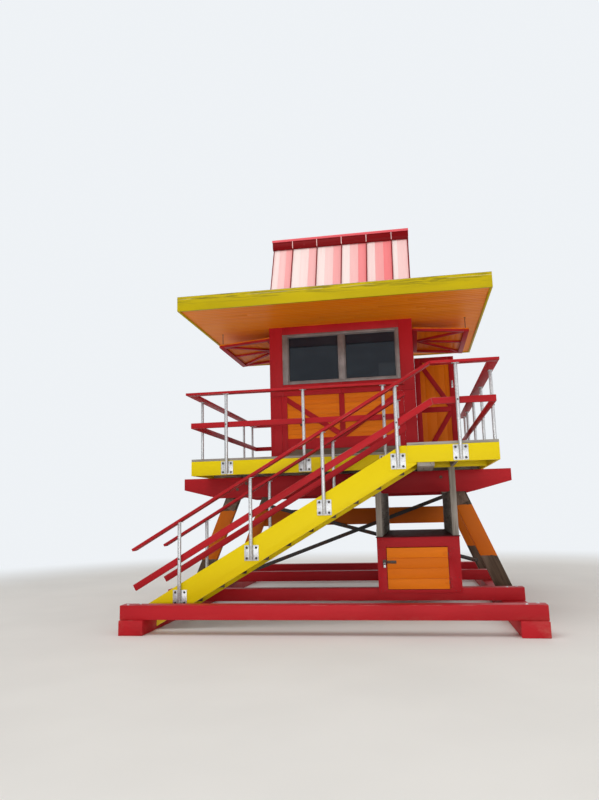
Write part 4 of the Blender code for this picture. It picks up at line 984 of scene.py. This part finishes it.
# seen from behind, with the doorway at the left end
def makeRearWall(bare, screws):
    rear = Wall("rear")
    low, high, deep, post = hut["low"], hut["high"], hut["wall"], hut["doorPost"]
    inner = hut["reach"] - deep - hut["seat"]
    doorLeft, doorRight = -hut["doorway"][1], -hut["doorway"][0]
    jamb = doorRight + hut["seat"]
    rear.board(jamb, jamb + post, low, high, deep)
    rear.board(inner - post, inner, low, high, deep)
    head = hut["rearHead"]
    rear.infill(bare, jamb + post, inner - post, head + 0.01, head,
                ((hut["bandFoot"], hut["rearBand"], hut["trim"]), (head, high, deep)))
    rear.done(0.5, 0.3)
    addPiece("wallFootStrip", bare, bareTimber("x", "brown"))
    lintel = Shape()
    for face, foot, top in ((0.0, hut["doorwayHigh"], hut["lintelJoint"]),
                            (0.003, hut["lintelJoint"] + 0.003, high)):
        lintel.block((doorLeft, face, foot), (doorRight, deep, top), 0.004, rear.place)
    rear.nail(screws, (-1.1, -0.7, -0.54, -0.51), (4.6, 4.78))
    addPiece("doorLintel", lintel, paintedWood("red", "x", 0.5), "hut_door_lintel")
    addCopy("door_jamb", 0.0012, paintedWood("red", "z", 0.5))


def makeHut():
    bare, screws, hook = Shape(), Shape(), Shape()
    makeFrontWall(bare, screws)
    for side in ("left", "right"):
        makeSideWall(side, bare, screws)
    makeRearWall(bare, screws)
    hook.block((-0.765, 0.058, 3.02), (-0.735, 0.064, 3.09), 0.002)
    hook.rod((-0.75, 0.061, 3.03), (-0.75, 0.028, 3.018), 0.005, 12, rounding=0.001)
    hook.rod((-0.75, 0.030, 3.014), (-0.75, 0.030, 3.05), 0.005, 12, rounding=0.001)
    addPiece("wallHook", hook, darkSteel())
    addPiece("hutScrews", screws, paintedWood("red", "z", 0.4))


makeHut()
print("hut made")

window = {"frame": 0.045, "sash": 0.016, "rounding": 0.003, "leftJamb": 0.10,
          "rightJamb": 0.06, "mullion": (-0.022, 0.08), "seal": 0.006, "latch": (4.16, 4.30)}


def makeWindow():
    low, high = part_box("window_frame")
    edge, sash, seal, soft = window["frame"], window["sash"], window["seal"], window["rounding"]
    back, bottom, top = high.y, low.z + edge, high.z - edge
    left, right = low.x + window["leftJamb"], high.x - window["rightJamb"]
    (nearPost, farPost), (foot, head) = window["mullion"], window["latch"]
    shape, seals = Shape(), Shape()
    shape.block(low, (left, back, high.z), soft)
    shape.block((right, low.y, low.z), high, soft)
    shape.ends((left, low.y + 0.001, low.z), (right, back, high.z), 2, edge, soft)
    shape.block((nearPost, low.y + 0.008, bottom), (farPost, back, top), soft)
    for x in (low.x + 0.045, high.x - 0.030):
        shape.block((x - 0.004, low.y - 0.0005, low.z + 0.01),
                    (x + 0.004, low.y + 0.002, high.z - 0.01), 0.0008)
    for start, end, front in ((left, nearPost, low.y + 0.018), (farPost, right, low.y + 0.030)):
        shape.ends((start, front, bottom), (end, back, top), 0, sash, 0.002)
        start, end = start + sash, end - sash
        shape.ends((start, front, bottom), (end, back, top), 2, sash, 0.002)
        for axis in (0, 2):
            seals.ends((start, back - 0.012, bottom + sash), (end, back - 0.001, top - sash),
                       axis, seal, 0.0015)
    shape.block((nearPost + 0.02, low.y + 0.002, foot), (nearPost + 0.032, low.y + 0.010, head), 0.002)
    addPiece("windowSections", shape, aluminium(), "window_frame")
    addPiece("windowSeals", seals, darkSteel())
    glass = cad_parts["window_glass"]
    glass.data.materials.clear()
    glass.data.materials.append(windowGlass()[0])


makeWindow()
print("window made")

door = {"hinge": (1.3163, 2.1025), "reach": 0.0125, "width": 0.795, "low": 2.384, "height": 2.20,
        "stile": 0.105, "midRail": 1.05, "face": 2.08, "frame": 0.020, "boards": 0.025,
        "boardPitch": 0.196, "latch": 4.0}


def makeHutDoor():
    x, y = door["hinge"]
    left = x + door["reach"]
    right = left + door["width"]
    low, high = door["low"], door["low"] + door["height"]
    face, stile = door["face"], door["stile"]
    behind = face + door["frame"]
    front, back = face, behind + 0.001
    boards, timbers, steel, latch = Shape(), Shape(), Shape(), Shape()
    boarding(boards, (left + 0.001, behind, low + 0.001),
             (right - 0.001, behind + door["boards"], high - 0.001), 0, door["boardPitch"], 0.0012,
             (1, behind + 0.004, behind + door["boards"] - 0.003), 0.001)
    timbers.ends((left, front, low), (right, back, high), 0, stile, 0.003)
    mid = low + door["midRail"]
    for z in (low, mid, high - stile):
        timbers.block((left + stile, front, z), (right - stile, back, z + stile), 0.003)
    for flip, end in ((-1, low + stile), (1, high - stile)):
        timbers.strip((right - stile, mid + stile / 2 + flip * stile * 0.55),
                      (left + stile, end - flip * 0.01), stile * 0.9, (front + 0.001, back), 0.003)
    for z in (low + 0.25, (low + high) / 2, high - 0.25):
        addKnuckle(steel, x, y, z)
        steel.block((x, y - 0.002, z - knuckle["half"]),
                    (left + 0.008, y + 0.002, z + knuckle["half"]), 0.0008)
    x, z = right - stile / 2, door["latch"]
    latch.block((x - 0.018, face - 0.003, z - 0.075), (x + 0.018, face + 0.001, z + 0.075), 0.002)
    latch.rod((x, face, z + 0.045), (x, face - 0.034, z + 0.045), 0.008, 14, rounding=0.001)
    latch.rod((x, face - 0.030, z + 0.049), (x, face - 0.030, z - 0.055), 0.007, 14, rounding=0.002)
    for shift in (-0.065, 0.065):
        latch.screw((x, face - 0.003, z + shift), (0, -1, 0), 0.004)
    addPiece("hutDoorLatch", latch, galvanised(), body="hut_door")
    addPiece("hutDoorBoards", boards, paintedWood("orange", "z", 0.3), "hut_door", body="hut_door")
    addPiece("hutDoorFrame", timbers, paintedWood("red", "z", 0.5), body="hut_door")
    addPiece("hutDoorSteel", steel, darkSteel(), body="hut_door")


makeHutDoor()
print("hut door made")

shutter = {"length": 1.00, "width": 1.75, "boards": 0.018, "frame": 0.09, "thickness": 0.038,
           "rib": 0.07, "droop": 4.8, "hinge": (1.3065, 4.715), "stay": 0.006, "stayInset": 0.06,
           "foot": 0.016, "middle": 1.06, "soffit": 4.8647, "boardPitch": 0.11,
           "hinges": (-0.6, 0.0, 0.6)}


def makeShutters():
    half, long, edge = shutter["width"] / 2, shutter["length"], shutter["frame"]
    down, under, soffit = -shutter["thickness"], -0.0005, shutter["soffit"]
    rib, inset, out, up = shutter["rib"] / 2, shutter["stayInset"], *shutter["hinge"]
    stays = Shape()
    for side, turned in (("left", math.pi), ("right", 0.0)):
        place = (Matrix.Translation((0.0, shutter["middle"], 0.0)) @ Matrix.Rotation(turned, 4, "Z")
                 @ Matrix.Translation((out, 0.0, up))
                 @ Matrix.Rotation(math.radians(shutter["droop"]), 4, "Y"))
        boards, timbers = Shape(), Shape()
        boarding(boards, (0.0, -half, -0.001), (long, half, shutter["boards"]), 0,
                 shutter["boardPitch"], 0.0025, (2, 0.003, shutter["boards"] - 0.004), 0.0015, place)
        timbers.ends((0.0, -half, down), (long, half, under), 0, edge, 0.003, place)
        timbers.ends((edge, -half, down), (long - edge, half, under), 1, edge, 0.003, place)
        for spread in (-half + edge, 0.0, half - edge):
            angle = math.atan2(spread, long - 2 * edge)
            length = math.hypot(spread, long - 2 * edge)
            turn = place @ Matrix.Translation((edge, 0.0, 0.0)) @ Matrix.Rotation(angle, 4, "Z")
            timbers.block((0.0, -rib, down * 0.8), (length, rib, under), 0.003, turn)
        addPiece(f"shutterBoards{side.title()}", boards, paintedWood("orange", "y", 0.3), f"shutter_{side}")
        addPiece(f"shutterFrame{side.title()}", timbers, paintedWood("red", "y", 0.4))
        for y in (-half + inset, half - inset):
            foot = place @ Vector((long - inset, y, shutter["boards"] - 0.002))
            head = Vector((foot.x, foot.y, soffit))
            plate = Vector((0.0, 0.0, 0.008))
            stays.rod(foot, head, shutter["stay"], 12)
            for start, end in ((foot, foot + plate), (head - plate, head)):
                stays.rod(start, end, shutter["foot"], 14, rounding=0.002)
        for y in shutter["hinges"]:
            hinge = place @ Matrix.Translation((0.004, y, 0.022))
            stays.block((-0.006, -0.04, -0.006), (0.09, 0.04, -0.001), 0.001, hinge)
    addPiece("shutterSteel", stays, darkSteel())


makeShutters()
print("shutters made")

roof = {"fascia": 0.038, "stain": 5.0, "soffitPitch": 0.092, "soffitGap": 0.001,
        "soffitThickness": 0.016, "dripThickness": 0.002, "dripWidth": 0.075,
        "jointReach": 1.6}


def makeRoof():
    low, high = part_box("roof_fascia")
    thick, drip, wide = roof["fascia"], roof["dripThickness"], roof["dripWidth"]
    across, deep, boards, felt, edge = (Shape() for _ in range(5))
    top = high.z - drip
    across.ends(low, (high.x, high.y, top), 1, thick, 0.005)
    deep.ends((low.x, low.y + thick, low.z), (high.x, high.y - thick, top), 0, thick, 0.005)
    # the fascia's yellow is darkened partly for age and partly as painted shade
    for name, shape, along in (("Across", across, "x"), ("Deep", deep, "y")):
        addPiece(f"fascia{name}", shape, paintedWood("olive", along, 0.35, None, roof["stain"]),
                 *(["roof_fascia"] if along == "x" else []))
    slabLow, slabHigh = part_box("roof_slab")
    for near, far in boardSpans(slabLow.y, slabHigh.y, roof["soffitPitch"], roof["soffitGap"]):
        joint = chance.uniform(-roof["jointReach"], roof["jointReach"])
        for left, right in ((slabLow.x, joint), (joint + 0.0008, slabHigh.x)):
            boards.block((left, near, slabLow.z), (right, far, slabLow.z + roof["soffitThickness"]), 0.0022)
    # the soffit's orange is brightened with painted light from below
    addPiece("soffitBoards", boards, paintedWood("soffit", "x", 0.25), "roof_slab")
    felt.block((slabLow.x, slabLow.y, slabLow.z + 0.02), slabHigh, 0.003)
    addPiece("roofFelt", felt, roofFelt())
    edge.ends((low.x, low.y, top), high, 1, wide, 0.0006)
    edge.ends((low.x, low.y + wide, top), (high.x, high.y - wide, high.z), 0, wide, 0.0006)
    addPiece("roofDripEdge", edge, (galvanised()[0], "aluminium"))


makeRoof()
print("roof made")

cap = {"width": 2.64, "depth": 1.50, "height": 1.72, "middle": 0.798, "foot": 5.0873,
       "seams": (-0.93, -0.445, 0.04, 0.525, 1.01), "seamHeight": 0.026, "seamWidth": 0.016,
       "seamEnd": 0.062, "sheet": 0.012, "ridgeLow": 6.705, "ridgeTop": 6.875, "ridgeHalf": 0.135,
       # the band under the ridge and its slanted foot are a painted shadow of the ridge
       "ridgeReach": 1.34, "pitch": 0.03, "lip": 0.045, "shadowBandHalf": 0.118, "shadowFootLow": 6.65,
       "shadowFootHalf": 0.098, "gableInset": 0.014, "gableSeams": (-0.44, 0.0, 0.44),
       # the tones of each panel's thirds: bands of painted sky reflection
       "tones": ((0.16, 0.40, 0.68), (0.06, 0.16, 0.54), (0.08, 0.32, 0.68), (0.07, 0.48, 0.88),
                 (0.22, 0.70, 0.95), (0.07, 0.34, 0.36))}


# one slope, in its own frame: the tower's X, up the slope and out of it
def makeSlope(sign, sheets, seams, caps, lipLow):
    half, reach, wide = cap["depth"] / 2, cap["width"] / 2, cap["seamWidth"] / 2
    slant = math.hypot(half, cap["height"])
    place = (Matrix.Translation((0.0, cap["middle"] + sign * half, cap["foot"]))
             @ Matrix.Rotation(0.0 if sign < 0 else math.pi, 4, "Z")
             @ Matrix.Rotation(math.atan2(cap["height"], half), 4, "X"))
    edges = [-reach, *cap["seams"], reach]
    for left, right, tones in zip(edges, edges[1:], cap["tones"]):
        if sign > 0:
            left, right, tones = -right, -left, tones[::-1]
        step = (right - left) / len(tones)
        for i, tone in enumerate(tones):
            # each third of a panel is bent a little out of the last one's plane, and its tone gives it a
            # band of painted reflection
            sheets.block((left + i * step, 0.0, -cap["sheet"]),
                         (left + (i + 1) * step, slant - 0.01, -0.0015 - 0.0008 * i), 0.0006, place, tone)
    face = cap["middle"] + sign * cap["shadowBandHalf"]
    for x in cap["seams"]:
        seams.block((-sign * x - wide, 0.004, -0.004),
                    (-sign * x + wide, slant - cap["seamEnd"], cap["seamHeight"]), 0.002, place, 0.1)
        caps.block((x - 0.006, face - sign * 0.02, cap["shadowFootLow"] + 0.005),
                   (x + 0.006, face + sign * 0.012, lipLow + 0.002), 0.0015, tone=0.3)
    for x in (-reach + 0.008, reach - 0.008):
        seams.block((x - 0.008, 0.004, -0.004), (x + 0.008, slant - cap["seamEnd"], 0.012), 0.003,
                    place, 0.15)


def makeGable(sign, sheets, seams, aside):
    middle, foot, rise, half = cap["middle"], cap["foot"], cap["height"], cap["depth"] / 2
    inset, face = cap["gableInset"], sign * cap["width"] / 2
    outline = [(middle - half + inset, foot), (middle + half - inset, foot),
               (middle, foot + rise - inset * 2)]
    sheets.slab(outline, (-face, -face + sign * cap["sheet"]), 0.002, aside, 0.35)
    for y in cap["gableSeams"]:
        seams.block((face - sign * 0.004, middle + y - 0.005, foot),
                    (face + sign * 0.012, middle + y + 0.005,
                     foot + rise * (1 - abs(y) / half) - 0.06), 0.002, tone=0.2)


def makeCap():
    sheets, seams, caps, ridge, band = (Shape() for _ in range(5))
    eaves = cap["ridgeTop"] - cap["pitch"]
    lipLow = eaves - cap["lip"]
    aside = Matrix.Rotation(math.pi / 2, 4, "Z")
    for sign in (-1, 1):
        makeSlope(sign, sheets, seams, caps, lipLow)
    for sign in (-1, 1):
        makeGable(sign, sheets, seams, aside)
    addPiece("capSheets", sheets, roofSheet(), "roof_cap")
    # the seams and gable seams take the band's dark maroon: painted shade on their sides
    addPiece("capSeams", seams, roofSheet("band"))
    # the seam ends over the band are pale pink: a painted highlight where they stand lit
    addPiece("capSeamEnds", caps, roofSheet())
    # the ridge: a bright lip, a painted highlight, over a dark band that is a painted shadow of the ridge,
    # with a slanted foot
    middle, reach = cap["middle"], cap["ridgeReach"]
    out, wing, foot = cap["ridgeHalf"], cap["shadowBandHalf"], cap["shadowFootHalf"]
    ridge.slab([(middle - out, lipLow), (middle - out, eaves), (middle, cap["ridgeTop"]),
                (middle + out, eaves), (middle + out, lipLow)], (-reach, reach), 0.003, aside, 0.3)
    band.slab([(middle - foot, cap["shadowFootLow"]), (middle - wing, cap["ridgeLow"]),
               (middle - wing, lipLow + 0.001), (middle + wing, lipLow + 0.001),
               (middle + wing, cap["ridgeLow"]), (middle + foot, cap["shadowFootLow"])],
              (-reach + 0.006, reach - 0.006), 0.002, aside, 0.4)
    addPiece("capRidge", ridge, roofSheet("ridge"))
    addPiece("capShadowBand", band, roofSheet("band"))


makeCap()
print("roof cap made")

studio = {"floor": (0.85, 0.83, 0.79), "world": (1.0, 1.0, 1.0), "worldStrength": 0.50,
          "backdrop": (0.86, 0.89, 0.92), "fade": (7.5, 14.0), "reach": 120.0, "aim": (0.0, 0.5, 2.9),
          "lamps": (("key", (-3.0, -7.0, 14.0), (8.0, 8.0), 590.0),
                    ("fill", (9.0, -8.0, 6.0), (7.0, 7.0), 120.0),
                    ("low", (1.0, -15.0, 1.5), (16.0, 2.2), 640.0),
                    ("rear", (3.0, 12.0, 11.0), (8.0, 8.0), 340.0))}


# 1 where the camera looks at a surface, also in a mirror or through glass
def seenShare(tree):
    camera, glossy, through = (tree.node("ShaderNodeLightPath", {}, {}, f"Is {kind} Ray")
                               for kind in ("Camera", "Glossy", "Transmission"))
    return camera.larger(glossy).larger(through)


def blend(tree, share, first, second, output):
    both = tree.node("ShaderNodeMixShader", {}, {0: share, 1: first, 2: second})
    tree.feed(tree.nodes[output].inputs["Surface"], both)


# pale ground that fades into the backdrop far from the tower
def makeFloor():
    coat = Finish("floor")
    cloud = coat.noise(coat.place, 0.6)
    deep = tuple(part * 0.96 for part in studio["floor"])
    colour = coat.layers(deep, (cloud.between(0.3, 0.7), studio["floor"]))
    material, _ = coat.done(None, colour, 0.9)
    away = coat.node("ShaderNodeVectorMath", {"operation": "LENGTH"}, {0: coat.place}, "Value")
    glow = coat.node("ShaderNodeEmission", {}, {"Color": (*studio["backdrop"], 1.0)})
    blend(coat, away.between(*studio["fade"]) * seenShare(coat),
          Wire(coat, coat.shader.outputs[0]), glow, "Material Output")
    shape = bmesh.new()
    bmesh.ops.create_grid(shape, x_segments=2, y_segments=2, size=studio["reach"])
    mesh = bpy.data.meshes.new("floor")
    shape.to_mesh(mesh)
    shape.free()
    mesh.materials.append(material)
    floor = addObject("floor", mesh)
    floor.location.z = -0.001


def makeLight():
    world = bpy.data.worlds.new("studio")
    bpy.context.scene.world = world
    world.use_nodes = True
    tree = Tree(world.node_tree)
    lit = tree.nodes["Background"]
    tree.feed(lit.inputs["Color"], (*studio["world"], 1.0))
    tree.feed(lit.inputs["Strength"], studio["worldStrength"])
    seen = tree.node("ShaderNodeBackground", {}, {"Color": (*studio["backdrop"], 1.0)})
    blend(tree, seenShare(tree), Wire(tree, lit.outputs[0]), seen, "World Output")
    for name, at, size, power in studio["lamps"]:
        lamp = addObject(name, bpy.data.lights.new(name, "AREA"))
        lamp.data.energy = power
        lamp.data.shape = "RECTANGLE"
        lamp.data.size, lamp.data.size_y = size
        lamp.visible_camera = False
        lamp.location = at
        aim = Vector(studio["aim"]) - Vector(at)
        lamp.rotation_euler = aim.to_track_quat("-Z", "Y").to_euler()


makeFloor()
makeLight()
bpy.context.scene.view_settings.view_transform = "Standard"
